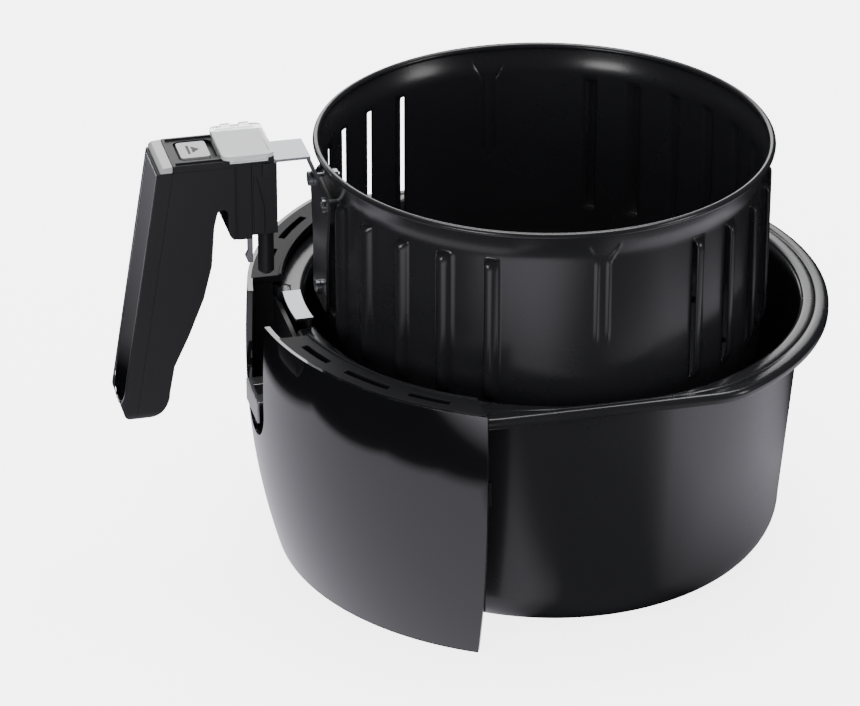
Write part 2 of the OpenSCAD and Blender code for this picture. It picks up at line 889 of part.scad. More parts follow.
// Thin bright border around the inlay
module inlay_border() {
    color("#d8dadd") intersection() {
        difference() {
            inlay_view(gap / 2);
            inlay_view(border_w);
        }
        face_slab(-0.15, inlay_t);
    }
}

// Screws that join front shell and body, hidden by the inlay
module handle_screws() {
    color("#b9bcc0")
        for (z = handle_screw_zs)
            translate([0, front_y(z) + 1.7, z])
                rotate([-90, 0, 0]) {
                    cylinder(h = 1.6, r = screw_head_r - 0.7, $fn = fn_small);
                    cylinder(h = 14, r = screw_r * 0.7, $fn = fn_small);
                }
}

// Silver strip across the front of the handle's top
module top_trim() {
    y0 = front_y(deck_z);
    color("#c4c7ca") across(half_w)
        polygon([[y0 + 0.3, shoulder_z + gap], [y0 + trim_d, shoulder_z + gap],
            [y0 + trim_d, deck_z], [y0 + 1.6, deck_z - 0.4], [y0 + 0.3, deck_z - 1.6]]);
}

deck_y0 = front_y(deck_z) + trim_d + gap;
deck_y1 = cover_y - 1.2;
bezel_w = 9.9;
bezel_y0 = deck_y0 + 3.9;
bezel_y1 = bezel_y0 + 16.4;
bezel_d = 1.6;
corner_r = 1.6;
button_w = 7.8;
button_y0 = bezel_y0 + 1;
button_y1 = button_y0 + 12.6;
rail_x = 12.3;
rail_h = 0.7;
rail_t = 1;

// Deck over the arm: the button's sunk bezel in front and two rails for the guard
module deck() {
    z0 = deck_z - deck_t;
    color("#2a2a2d") difference() {
        union() {
            translate([-half_w, deck_y0, z0])
                cube([handle_w, body_y - deck_y0, deck_t]);
            translate([-cover_w, body_y - gap, z0])
                cube([2 * cover_w, deck_y1 - body_y + gap, deck_t]);
            for (s = [-1, 1])
                translate([s * rail_x - rail_t / 2, deck_y0 + 1.5, deck_z - gap])
                    cube([rail_t, deck_y1 - deck_y0 - 3, rail_h + gap]);
        }
        translate([0, 0, deck_z - bezel_d])
            rounded_plate(bezel_w, bezel_y0, bezel_y1, 2 * corner_r, bezel_d + over);
        translate([0, 0, z0 - over])
            rounded_plate(button_w + play, button_y0 - play, button_y1 + play, corner_r, deck_t + 2 * over);
        for (y = strap_screw_ys)
            translate([0, y, z0 - over])
                cylinder(h = 3, r = screw_head_r + gap, $fn = fn_small);
    }
}

button_rise = 0.4;
button_flange = 1.2;
stem_y = button_y0 + 3.2;
stem_r = 2;
arm_top = deck_z - 12.3;
stem_z = arm_top + 3 * gap;
spring_x = 5.6;
spring_y = (button_y0 + button_y1) / 2;
spring_r = 2.4;

// Release button: cap, retaining foot and stem, with a raised bar and triangle on top
module release_button() {
    z_foot = deck_z - deck_t - play - 1.2;
    color("#b9bbbf") {
        translate([0, 0, z_foot])
            rounded_plate(button_w, button_y0, button_y1, corner_r, deck_z + button_rise - z_foot);
        translate([-button_w - button_flange, button_y0 - button_flange, z_foot])
            cube([2 * (button_w + button_flange), button_y1 - button_y0 + 2 * button_flange, 1.2]);
        translate([0, stem_y, stem_z])
            cylinder(h = z_foot - stem_z + gap, r = stem_r, $fn = fn_small);
    }
}

// Two return springs under the button, one each side of the hook's arm
module button_spring() {
    z0 = cavity_z + gap;
    z1 = deck_z - deck_t - play - 1.2 - gap;
    color("#a8abaf")
        for (s = [-1, 1])
            translate([s * spring_x, spring_y, z0])
                difference() {
                    cylinder(h = z1 - z0, r = spring_r, $fn = fn_small);
                    translate([0, 0, -over])
                        cylinder(h = z1 - z0 + 2 * over, r = spring_r - 0.7, $fn = fn_small);
                }
}

guard_l = 22.3;
guard_y0 = cover_y - 23.6;
guard_t = 1.8;
guard_skirt = 1.2;
guard_x = half_w + play + guard_skirt;

// Clear slide guard: a dished plate that runs forward on the rails and covers the button
module button_guard() {
    z0 = deck_z + rail_h + play / 2;
    rim = 1.8;
    dish = 0.6;
    y1 = guard_y0 + guard_l;
    color([0.92, 0.93, 0.94, 0.7]) {
        difference() {
            translate([0, 0, z0])
                rounded_plate(guard_x, guard_y0, y1, guard_r, guard_t);
            translate([0, 0, z0 + guard_t - dish])
                rounded_plate(guard_x - rim, guard_y0 + rim, y1 - rim, guard_r - rim / 2, over);
        }
        for (x = [-guard_x, guard_x - guard_skirt])
            translate([x, guard_y0 + guard_r, z0 - skirt_h])
                cube([guard_skirt, guard_l - 2 * guard_r, skirt_h + gap]);
        for (y = [5, 13])
            translate([-guard_x + gap, guard_y0 + y, z0 + guard_t - gap])
                cube([rim - 2 * gap, 4, 1]);
    }
}
guard_r = 3;
skirt_h = 1.5;

cover_w = half_w - 1.2;
cover_z = nose_z + 0.3;
cover_wall = 2.2;
cover_front = body_y + gap;
hook_pin_y = body_y - 2.6;
hook_pin_z = deck_z - 14.3;
hook_pin_r = 1.3;

// Latch cover on the arm's rear: houses the hook's stem and carries the guide post
module latch_cover() {
    color("#1f1f22") difference() {
        union() {
            translate([-cover_w, cover_front, cover_z + cover_chamfer])
                cube([2 * cover_w, cover_y - cover_front, shoulder_z - cover_z - cover_chamfer]);
            translate([-cover_w + 2 * cover_chamfer, cover_front, cover_z])
                cube([2 * cover_w - 4 * cover_chamfer, cover_y - cover_front, 3]);
        }
        // channel for the bracket's strap
        translate([-strap_w - play, cover_front - over, roof_z])
            cube([2 * (strap_w + play), big, big]);
        // room for the hook's eye
        translate([-eye_room, cover_front - over, hook_pin_z - eye_room])
            cube([2 * eye_room, hook_y + 4.2 - cover_front + over, 2 * eye_room]);
        // slot for the hook's stem
        translate([-stem_w - play, cover_front - over, cover_z - over])
            cube([2 * (stem_w + play), hook_y + 3.9 - cover_front + over, hook_pin_z - cover_z]);
        translate([0, post_y, cover_z - over])
            cylinder(h = post_in + over, r = post_r + gap / 2, $fn = fn_small);
    }
}
cover_chamfer = 1.5;
eye_room = 4;
post_in = 8;
stem_w = 1.1;
stem_t = 2.2;
eye_r = 2.6;

// Guide post that leads the latch into the receiver, grooved in front for the hook's stem
module guide_post() {
    tip = 1.2;
    groove_w = stem_w + play;
    color("#202023") difference() {
        translate([0, post_y, cover_z - post_l])
            rotate_extrude($fn = fn_small * 2)
                polygon([[0, 0], [post_r - tip, 0], [post_r, tip], [post_r, post_l + post_in - gap],
                    [0, post_l + post_in - gap]]);
        translate([-groove_w, post_y - post_r - over, cover_z - post_l + 3])
            cube([2 * groove_w, over + groove_d, big]);
    }
}
groove_d = 3;

barb_z = nose_z - 17.1;
barb_h = 5.4;
arm_front = stem_y - stem_r - 0.5;

// Steel latch hook, a bell crank: arm under the button, eye on the pin, stem and barb below
module latch_hook() {
    color("#cfd2d6") difference() {
        union() {
            across(stem_w)
                polygon([[hook_y - stem_t / 2, barb_z], [hook_y + stem_t / 2, barb_z],
                    [hook_y + stem_t / 2, hook_pin_z], [hook_pin_y, arm_top],
                    [arm_front, arm_top], [arm_front, arm_top - 3.6],
                    [hook_y - stem_t / 2, arm_top - 4.6], [hook_y - stem_t / 2, barb_z + barb_h],
                    [hook_y - hook_tip, barb_z + barb_h / 2 + 0.4]]);
            translate([-stem_w, hook_pin_y, hook_pin_z])
                rotate([0, 90, 0])
                    cylinder(h = 2 * stem_w, r = eye_r, $fn = fn_small);
            // foot for the button's stem
            translate([-stem_r, arm_front, arm_top - 1])
                cube([2 * stem_r, 2 * stem_r + 1, 1]);
        }
        translate([-big / 2, hook_pin_y, hook_pin_z])
            rotate([0, 90, 0])
                cylinder(h = big, r = hook_pin_r + pin_play, $fn = fn_small);
    }
}

// Bore for the hook's pin through the handle's two walls
module pin_bore(fit) {
    translate([-half_w + 2 - fit, hook_pin_y, hook_pin_z])
        rotate([0, 90, 0])
            cylinder(h = handle_w - 4 + 2 * fit, r = hook_pin_r + fit, $fn = fn_small);
}

module latch_pin() {
    color("#b9bcc0") pin_bore(0);
}

// Torsion spring on the hook's pin, beside the hook
module latch_spring() {
    wire = 0.5;
    turns = 4;
    color("#a8abaf")
        for (i = [0:turns - 1])
            translate([stem_w + 0.6 + wire + i * (2 * wire + 0.15), hook_pin_y, hook_pin_z])
                rotate([0, 90, 0])
                    rotate_extrude($fn = fn_small)
                        translate([hook_pin_r + wire + gap, 0])
                            circle(wire, $fn = 16);
}

// Screws that hold the strap's end to the arm, under the deck
module strap_screws() {
    color("#b9bcc0")
        for (y = strap_screw_ys)
            translate([0, y, strap_z + gap / 2]) {
                cylinder(h = 1.4, r = screw_head_r - 0.4, $fn = fn_small);
                translate([0, 0, -steel_t - 2])
                    cylinder(h = steel_t + 2.5, r = screw_r, $fn = fn_small);
            }
}

pan();
front_panel();
collar_left();
collar_right();
panel_frame();
latch_receiver();
catch_plate();
pan_bracket();
bracket_rivets();
receiver_screws();
basket_shell();
basket_bracket();
bracket_spacer();
bracket_backing();
bracket_screws();
bracket_nuts();
handle_body();
handle_front();
handle_inlay();
inlay_border();
handle_screws();
top_trim();
deck();
release_button();
button_spring();
button_guard();
latch_cover();
guide_post();
latch_hook();
latch_pin();
latch_spring();
strap_screws();
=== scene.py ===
"""Studio scene of an air fryer drawer: pan, glossy front panel and lift-out basket.

Everything is built in the row's frame in metres: +Z up, the handle towards -Y.
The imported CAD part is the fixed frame. Drawn sheet metal and the front panel are
rebuilt here as smooth numeric surfaces; moulded and machined pieces are cleaned
copies of their CAD nodes with rounded edges. Every piece rides on its CAD body.
"""

import enum
import logging
import math
from dataclasses import dataclass, field
from typing import Callable, Iterable, Optional, Sequence

import bmesh
import bpy
import numpy as np
from mathutils import Euler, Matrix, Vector

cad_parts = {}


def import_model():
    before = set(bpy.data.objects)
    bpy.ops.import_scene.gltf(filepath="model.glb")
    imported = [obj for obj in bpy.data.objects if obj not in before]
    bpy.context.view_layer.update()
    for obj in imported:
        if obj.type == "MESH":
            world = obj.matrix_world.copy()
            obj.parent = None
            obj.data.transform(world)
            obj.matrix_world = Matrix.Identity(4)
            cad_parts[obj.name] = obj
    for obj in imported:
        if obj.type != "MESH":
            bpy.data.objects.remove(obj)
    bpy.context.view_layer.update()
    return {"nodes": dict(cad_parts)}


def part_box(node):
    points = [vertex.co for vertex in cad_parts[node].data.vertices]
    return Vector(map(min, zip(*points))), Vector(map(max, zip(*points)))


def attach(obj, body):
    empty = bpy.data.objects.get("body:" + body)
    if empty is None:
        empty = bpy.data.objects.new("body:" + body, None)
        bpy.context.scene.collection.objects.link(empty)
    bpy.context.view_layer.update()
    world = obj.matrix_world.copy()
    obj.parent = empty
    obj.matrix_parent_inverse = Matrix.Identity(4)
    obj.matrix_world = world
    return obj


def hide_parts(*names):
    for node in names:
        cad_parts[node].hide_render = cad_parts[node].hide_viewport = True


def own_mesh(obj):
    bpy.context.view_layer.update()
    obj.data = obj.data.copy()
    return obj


LOG = logging.getLogger("air_fryer_drawer")
MM = 0.001
PAN_LIP = 1.6 * MM
SPRING_STEPS = 28
SPRING_SIDES = 10
SKY_STRENGTH = 1.15
FLOOR_HALF = 6
FLOOR_TOP = -0.0002
FLOOR_BOTTOM = -0.02
FLOOR_SHADE = 0.92
FLOOR_ROUGHNESS = 0.9
FLOOR_GLOW = 4.0


class Body(enum.Enum):
    """The CAD bodies that pieces ride on."""

    DRAWER = "drawer"
    BASKET = "basket"
    BUTTON = "button"
    GUARD = "guard"
    HOOK = "hook"


class Slot(enum.Enum):
    """The record's material slots."""

    COAT = "black_coat"
    GLOSS = "gloss_black"
    GREY = "matte_grey"
    BLACK = "matte_black"
    STEEL = "bright_steel"
    CHROME = "chrome_trim"
    SILVER = "silver_trim"
    CLEAR = "clear_guard"


@dataclass(frozen=True)
class Finish:
    """Numbers of one surface finish.

    Attributes:
        base: Linear base colour.
        roughness: Middle roughness.
        spread: How far the roughness wanders either way.
        metallic: Metallic value.
        coat: Clear coat weight.
        coat_roughness: Roughness of the clear coat.
        grain: Size of the fine bump's cells in metres.
        bump: Depth of the fine bump in metres.
        stretch: How many times longer the grain is along X than across.
        transmission: Transmission weight, for clear pieces.
        specular: Specular level of the base layer.
    """

    base: tuple[float, float, float]
    roughness: float
    spread: float = 0.03
    metallic: float = 0.0
    coat: float = 0.0
    coat_roughness: float = 0.05
    grain: float = 0.0006
    bump: float = 0.00001
    stretch: float = 1.0
    transmission: float = 0.0
    specular: float = 0.5


FINISHES: dict[Slot, Finish] = {
    Slot.COAT: Finish((0.012, 0.012, 0.014), 0.27, 0.03, coat=0.3, coat_roughness=0.18, grain=0.0011,
                      bump=0.00001),
    Slot.GLOSS: Finish((0.005, 0.005, 0.006), 0.09, 0.01, coat=1.0, coat_roughness=0.03, grain=0.012,
                       bump=0.000006),
    Slot.GREY: Finish((0.010, 0.010, 0.012), 0.48, 0.04, grain=0.0005, bump=0.00003, specular=0.16),
    Slot.BLACK: Finish((0.011, 0.011, 0.013), 0.38, 0.04, grain=0.0005, bump=0.00002, specular=0.32),
    Slot.STEEL: Finish((0.46, 0.47, 0.49), 0.29, 0.05, metallic=1.0, grain=0.0004, bump=0.000006,
                       stretch=12.0),
    Slot.CHROME: Finish((0.78, 0.79, 0.80), 0.08, 0.02, metallic=1.0, grain=0.002, bump=0.000002),
    Slot.SILVER: Finish((0.40, 0.40, 0.40), 0.34, 0.03, metallic=0.3, grain=0.0005, bump=0.00001),
    Slot.CLEAR: Finish((0.93, 0.94, 0.95), 0.10, 0.02, grain=0.001, bump=0.000006, transmission=0.74),
}


class FinishShop:
    """Makes and keeps one procedural material for each slot."""

    def __init__(self, finishes: dict[Slot, Finish]) -> None:
        self._finishes = finishes
        self._made: dict[Slot, bpy.types.Material] = {}
        self._group = self._surface_group()

    @staticmethod
    def _surface_group() -> bpy.types.NodeTree:
        """Node group shared by all finishes: broad wear in the roughness and a fine bump."""
        group = bpy.data.node_groups.new("SurfaceGrain", "ShaderNodeTree")
        face = group.interface
        face.new_socket("Vector", in_out="INPUT", socket_type="NodeSocketVector")
        for name, value in (("Roughness", 0.4), ("Spread", 0.03), ("Grain Scale", 900.0), ("Bump", 0.00001)):
            sock = face.new_socket(name, in_out="INPUT", socket_type="NodeSocketFloat")
            sock.default_value = value
        face.new_socket("Roughness", in_out="OUTPUT", socket_type="NodeSocketFloat")
        face.new_socket("Normal", in_out="OUTPUT", socket_type="NodeSocketVector")
        nodes, links = group.nodes, group.links
        entry = nodes.new("NodeGroupInput")
        leave = nodes.new("NodeGroupOutput")
        broad = nodes.new("ShaderNodeTexNoise")
        broad.inputs["Scale"].default_value = 28.0
        broad.inputs["Detail"].default_value = 5.0
        centre = nodes.new("ShaderNodeMath")
        centre.operation = "SUBTRACT"
        centre.inputs[1].default_value = 0.5
        sway = nodes.new("ShaderNodeMath")
        sway.operation = "MULTIPLY"
        add = nodes.new("ShaderNodeMath")
        add.operation = "ADD"
        add.use_clamp = True
        fine = nodes.new("ShaderNodeTexNoise")
        fine.inputs["Detail"].default_value = 2.0
        bump = nodes.new("ShaderNodeBump")
        links.new(entry.outputs["Vector"], broad.inputs["Vector"])
        links.new(broad.outputs["Fac"], centre.inputs[0])
        links.new(centre.outputs[0], sway.inputs[0])
        links.new(entry.outputs["Spread"], sway.inputs[1])
        links.new(sway.outputs[0], add.inputs[0])
        links.new(entry.outputs["Roughness"], add.inputs[1])
        links.new(add.outputs[0], leave.inputs["Roughness"])
        links.new(entry.outputs["Vector"], fine.inputs["Vector"])
        links.new(entry.outputs["Grain Scale"], fine.inputs["Scale"])
        links.new(fine.outputs["Fac"], bump.inputs["Height"])
        links.new(entry.outputs["Bump"], bump.inputs["Distance"])
        links.new(bump.outputs["Normal"], leave.inputs["Normal"])
        return group

    def get(self, slot: Slot) -> bpy.types.Material:
        """Returns the slot's material, making it the first time.

        Args:
            slot: The material slot.

        Returns:
            A procedural material.
        """
        if slot not in self._made:
            self._made[slot] = self._make(slot, self._finishes[slot])
        return self._made[slot]

    def _make(self, slot: Slot, finish: Finish) -> bpy.types.Material:
        mat = bpy.data.materials.new(f"finish_{slot.value}")
        mat.use_nodes = True
        nodes, links = mat.node_tree.nodes, mat.node_tree.links
        shader = nodes["Principled BSDF"]
        shader.inputs["Base Color"].default_value = (*finish.base, 1.0)
        shader.inputs["Metallic"].default_value = finish.metallic
        shader.inputs["Coat Weight"].default_value = finish.coat
        shader.inputs["Coat Roughness"].default_value = finish.coat_roughness
        shader.inputs["Specular IOR Level"].default_value = finish.specular
        if finish.transmission > 0.0:
            shader.inputs["Transmission Weight"].default_value = finish.transmission
            shader.inputs["IOR"].default_value = 1.45
        coords = nodes.new("ShaderNodeTexCoord")
        mapping = nodes.new("ShaderNodeMapping")
        mapping.inputs["Scale"].default_value = (1.0 / finish.stretch, 1.0, 1.0)
        grain = nodes.new("ShaderNodeGroup")
        grain.node_tree = self._group
        grain.inputs["Roughness"].default_value = finish.roughness
        grain.inputs["Spread"].default_value = 2.0 * finish.spread
        grain.inputs["Grain Scale"].default_value = 1.0 / finish.grain
        grain.inputs["Bump"].default_value = finish.bump
        links.new(coords.outputs["Object"], mapping.inputs["Vector"])
        links.new(mapping.outputs["Vector"], grain.inputs["Vector"])
        links.new(grain.outputs["Roughness"], shader.inputs["Roughness"])
        links.new(grain.outputs["Normal"], shader.inputs["Normal"])
        return mat


# ---------------------------------------------------------------------------
# Measures of the object, read from the CAD frame
# ---------------------------------------------------------------------------


@dataclass
class Measures:
    """Sizes that the smooth surfaces share, in metres.

    Attributes:
        pan_r: Wall radius at the lip.
        pan_h: Height of the lip.
        pan_t: Sheet thickness.
        draft: Draft of the wall in radians.
        corner: Radius between floor and wall.
        flat: Half distance between the two flattened sides at the lip.
        flange_r: Radius of the flange's outer circle.
        flange_shift: How far that circle is set forwards.
        flange_flat: Half width of the trimmed flange.
        flange_lip: Depth of the turned-down edge.
        panel_r: Radius of the panel at its waist.
        panel_top: Height of the panel's top edge.
        panel_t: Panel wall.
        waist: Height of the waist.
        bow: Radius of the panel's vertical curve.
        end_y: Distance of the panel's end plane in front of the centre.
        notch_w: Half width of the notch.
        notch_z: Height of the notch's round bottom.
        recess_w: Half width of the latch recess.
        basket_y: Y of the basket's axis.
        basket_z: Height of the basket's floor.
        basket_h: Height of the basket.
        basket_r: Radius of the basket's wall.
        flare: How far the rim stands out.
        deck_z: Height of the handle's deck.
        cover_y: Y of the latch cover's rear face.
    """

    pan_r: float = 110.2 * MM
    pan_h: float = 115.3 * MM
    pan_t: float = 1.4 * MM
    draft: float = math.radians(4.7)
    corner: float = 18.5 * MM
    flat: float = 108.5 * MM
    flange_r: float = 126.0 * MM
    flange_shift: float = 5.2 * MM
    flange_flat: float = 113.1 * MM
    flange_lip: float = 4.2 * MM
    panel_r: float = 135.3 * MM
    panel_top: float = 120.4 * MM
    panel_t: float = 2.5 * MM
    waist: float = 85.0 * MM
    bow: float = 300.0 * MM
    end_y: float = 59.5 * MM
    notch_w: float = 17.8 * MM
    notch_z: float = 61.0 * MM
    recess_w: float = 29.5 * MM
    basket_y: float = -4.5 * MM
    basket_z: float = 90.0 * MM
    basket_h: float = 99.7 * MM
    basket_r: float = 95.7 * MM
    flare: float = 3.9 * MM
    deck_z: float = 198.3 * MM
    cover_y: float = -124.5 * MM

    @classmethod
    def from_frame(cls) -> "Measures":
        """Takes the main sizes from the CAD nodes' boxes."""
        m = cls()
        lo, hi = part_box("pan")
        m.pan_h = hi.z
        m.flange_flat = hi.x
        m.flange_r = hi.y + m.flange_shift
        lo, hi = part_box("front_panel")
        m.panel_r = -lo.y
        m.panel_top = hi.z
        m.end_y = -hi.y
        lo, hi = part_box("basket_shell")
        m.basket_y = (lo.y + hi.y) / 2
        m.basket_z = lo.z
        m.basket_h = hi.z - lo.z
        m.basket_r = (hi.x - lo.x) / 2 - m.flare
        lo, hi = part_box("deck")
        m.deck_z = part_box("top_trim")[1].z
        m.cover_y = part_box("latch_cover")[1].y
        return m

    def pan_at(self, z: np.ndarray) -> np.ndarray:
        """Outer radius of the pan's wall at height z: a straight draft."""
        return self.pan_r - (self.pan_h - z) * math.tan(self.draft)

    def panel_at(self, z: np.ndarray) -> np.ndarray:
        """Outer radius of the panel at height z: an arc below the waist, slight draw-in above."""
        dz = self.waist - z
        below = self.panel_r - self.bow + np.sqrt(self.bow**2 - np.minimum(np.abs(dz), self.bow) ** 2)
        above = self.panel_r - dz**2 / (4 * self.bow)
        return np.where(dz > 0, below, above)


# ---------------------------------------------------------------------------
# Mesh helpers
# ---------------------------------------------------------------------------


@dataclass
class Grid:
    """A surface as rows of points, with optional wrapping along the row.

    Attributes:
        points: Array of shape (rows, columns, 3).
        wrap: Whether the last column joins the first.
        keep: Optional array of shape (rows - 1, cells) saying which cells are kept.
    """

    points: np.ndarray
    wrap: bool = False
    keep: Optional[np.ndarray] = None

    def faces(self, offset: int = 0) -> np.ndarray:
        """Quads of the grid, with vertex numbers counted from offset."""
        rows, cols = self.points.shape[:2]
        cells = cols if self.wrap else cols - 1
        r, c = np.meshgrid(np.arange(rows - 1), np.arange(cells), indexing="ij")
        d = (c + 1) % cols
        quads = np.stack([r * cols + c, r * cols + d, (r + 1) * cols + d, (r + 1) * cols + c], -1)
        if self.keep is not None:
            quads = quads[self.keep]
        return quads.reshape(-1, 4) + offset


def mesh_from_grids(name: str, grids: Sequence[Grid], weld: float = 1e-6) -> bpy.types.Mesh:
    """Joins grids into one mesh and welds shared borders.

    Args:
        name: Mesh name.
        grids: The grids, all in the row's frame.
        weld: Distance within which vertices are merged.

    Returns:
        The mesh, smooth shaded.
    """
    points, faces, offset = [], [], 0
    for grid in grids:
        points.append(grid.points.reshape(-1, 3))
        faces.append(grid.faces(offset))
        offset += len(points[-1])
    verts = np.concatenate(points)
    quads = np.concatenate(faces)
    mesh = bpy.data.meshes.new(name)
    mesh.from_pydata(verts.tolist(), [], quads.tolist())
    work = bmesh.new()
    work.from_mesh(mesh)
    bmesh.ops.remove_doubles(work, verts=work.verts, dist=weld)
    bmesh.ops.dissolve_degenerate(work, dist=1e-7, edges=work.edges)
    loose = [v for v in work.verts if not v.link_faces]
    bmesh.ops.delete(work, geom=loose, context="VERTS")
    bmesh.ops.recalc_face_normals(work, faces=work.faces)
    work.to_mesh(mesh)
    work.free()
    mesh.polygons.foreach_set("use_smooth", [True] * len(mesh.polygons))
    return mesh


def outward(mesh: bpy.types.Mesh, centre: Vector) -> None:
    """Turns the mesh's faces so that the topmost wall faces away from centre."""
    total = sum((p.center - centre).dot(p.normal) * p.area for p in mesh.polygons)
    if total < 0:
        mesh.flip_normals()


class Workshop:
    """Places finished pieces in the scene and ties them to the CAD frame."""

    def __init__(self, shop: FinishShop, nodes: dict[str, bpy.types.Object]) -> None:
        self.shop = shop
        self.nodes = nodes
        self.pieces: list[bpy.types.Object] = []

    def place(
        self,
        name: str,
        mesh: bpy.types.Mesh,
        body: Body,
        slot: Slot,
        stands_for: Iterable[str] = (),
    ) -> bpy.types.Object:
        """Makes an object at the origin, gives it its finish and lets it ride on a body.

        Args:
            name: Object name.
            mesh: Its mesh, in the row's frame.
            body: The CAD body it moves with.
            slot: Its material slot.
            stands_for: CAD nodes it replaces.

        Returns:
            The object.
        """
        obj = bpy.data.objects.new(name, mesh)
        bpy.context.scene.collection.objects.link(obj)
        mesh.materials.clear()
        mesh.materials.append(self.shop.get(slot))
        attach(obj, body.value)
        names = list(stands_for)
        if names:
            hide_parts(*names)
        self.pieces.append(obj)
        return obj

    @staticmethod
    def thicken(obj: bpy.types.Object, thickness: float, inward: float = -1.0) -> None:
        """Adds a solidify modifier.

        Args:
            obj: The sheet.
            thickness: Sheet thickness.
            inward: -1 grows against the normals, 1 along them.
        """
        solid = obj.modifiers.new("sheet", "SOLIDIFY")
        solid.thickness = thickness
        solid.offset = inward
        solid.use_even_offset = True
        solid.use_quality_normals = True

    @staticmethod
    def soften(obj: bpy.types.Object, width: float, segments: int = 3, angle: float = 35.0) -> None:
        """Rounds an object's sharp edges and weights its normals.

        Args:
            obj: The object.
            width: Bevel width.
            segments: Bevel segments.
            angle: Edges sharper than this many degrees are rounded.
        """
        bevel = obj.modifiers.new("edges", "BEVEL")
        bevel.width = width
        bevel.segments = segments
        bevel.limit_method = "ANGLE"
        bevel.angle_limit = math.radians(angle)
        bevel.harden_normals = False
        bevel.use_clamp_overlap = True
        normal = obj.modifiers.new("normals", "WEIGHTED_NORMAL")
        normal.keep_sharp = False
        normal.weight = 80

    def clean_copy(
        self,
        node: str,
        body: Body,
        slot: Slot,
        width: float = 0.4 * MM,
        segments: int = 3,
        calm: Optional[Callable[[Vector, Vector], bool]] = None,
    ) -> bpy.types.Object:
        """Copies a CAD node, merges its facets and rounds its edges.

        Args:
            node: CAD node name.
            body: Body the copy rides on.
            slot: Material slot.
            width: Bevel width.
            segments: Bevel segments.
            calm: Says of an edge, by its two ends, that it stays crisp.

        Returns:
            The object that stands for the node.
        """
        mesh = self.nodes[node].data.copy()
        mesh.name = f"{node}_fine"
        work = bmesh.new()
        work.from_mesh(mesh)
        bmesh.ops.remove_doubles(work, verts=work.verts, dist=2e-6)
        bmesh.ops.dissolve_limit(
            work, angle_limit=math.radians(0.6), verts=work.verts, edges=work.edges, delimit={"NORMAL"}
        )
        weight = work.edges.layers.float.new("bevel_weight_edge")
        for edge in work.edges:
            if len(edge.link_faces) != 2:
                continue
            sharp = edge.calc_face_angle(0.0) > math.radians(30.0)
            still = calm is not None and calm(edge.verts[0].co, edge.verts[1].co)
            edge[weight] = 0.0 if not sharp else (0.12 if still else 1.0)
        for face in work.faces:
            face.smooth = True
        work.to_mesh(mesh)
        work.free()
        obj = self.place(f"{node}_look", mesh, body, slot, [node])
        bevel = obj.modifiers.new("edges", "BEVEL")
        bevel.width = width
        bevel.segments = segments
        bevel.limit_method = "WEIGHT"
        bevel.use_clamp_overlap = True
        normal = obj.modifiers.new("normals", "WEIGHTED_NORMAL")
        normal.keep_sharp = False
        normal.weight = 80
        return obj


# ---------------------------------------------------------------------------
# Pan
# ---------------------------------------------------------------------------


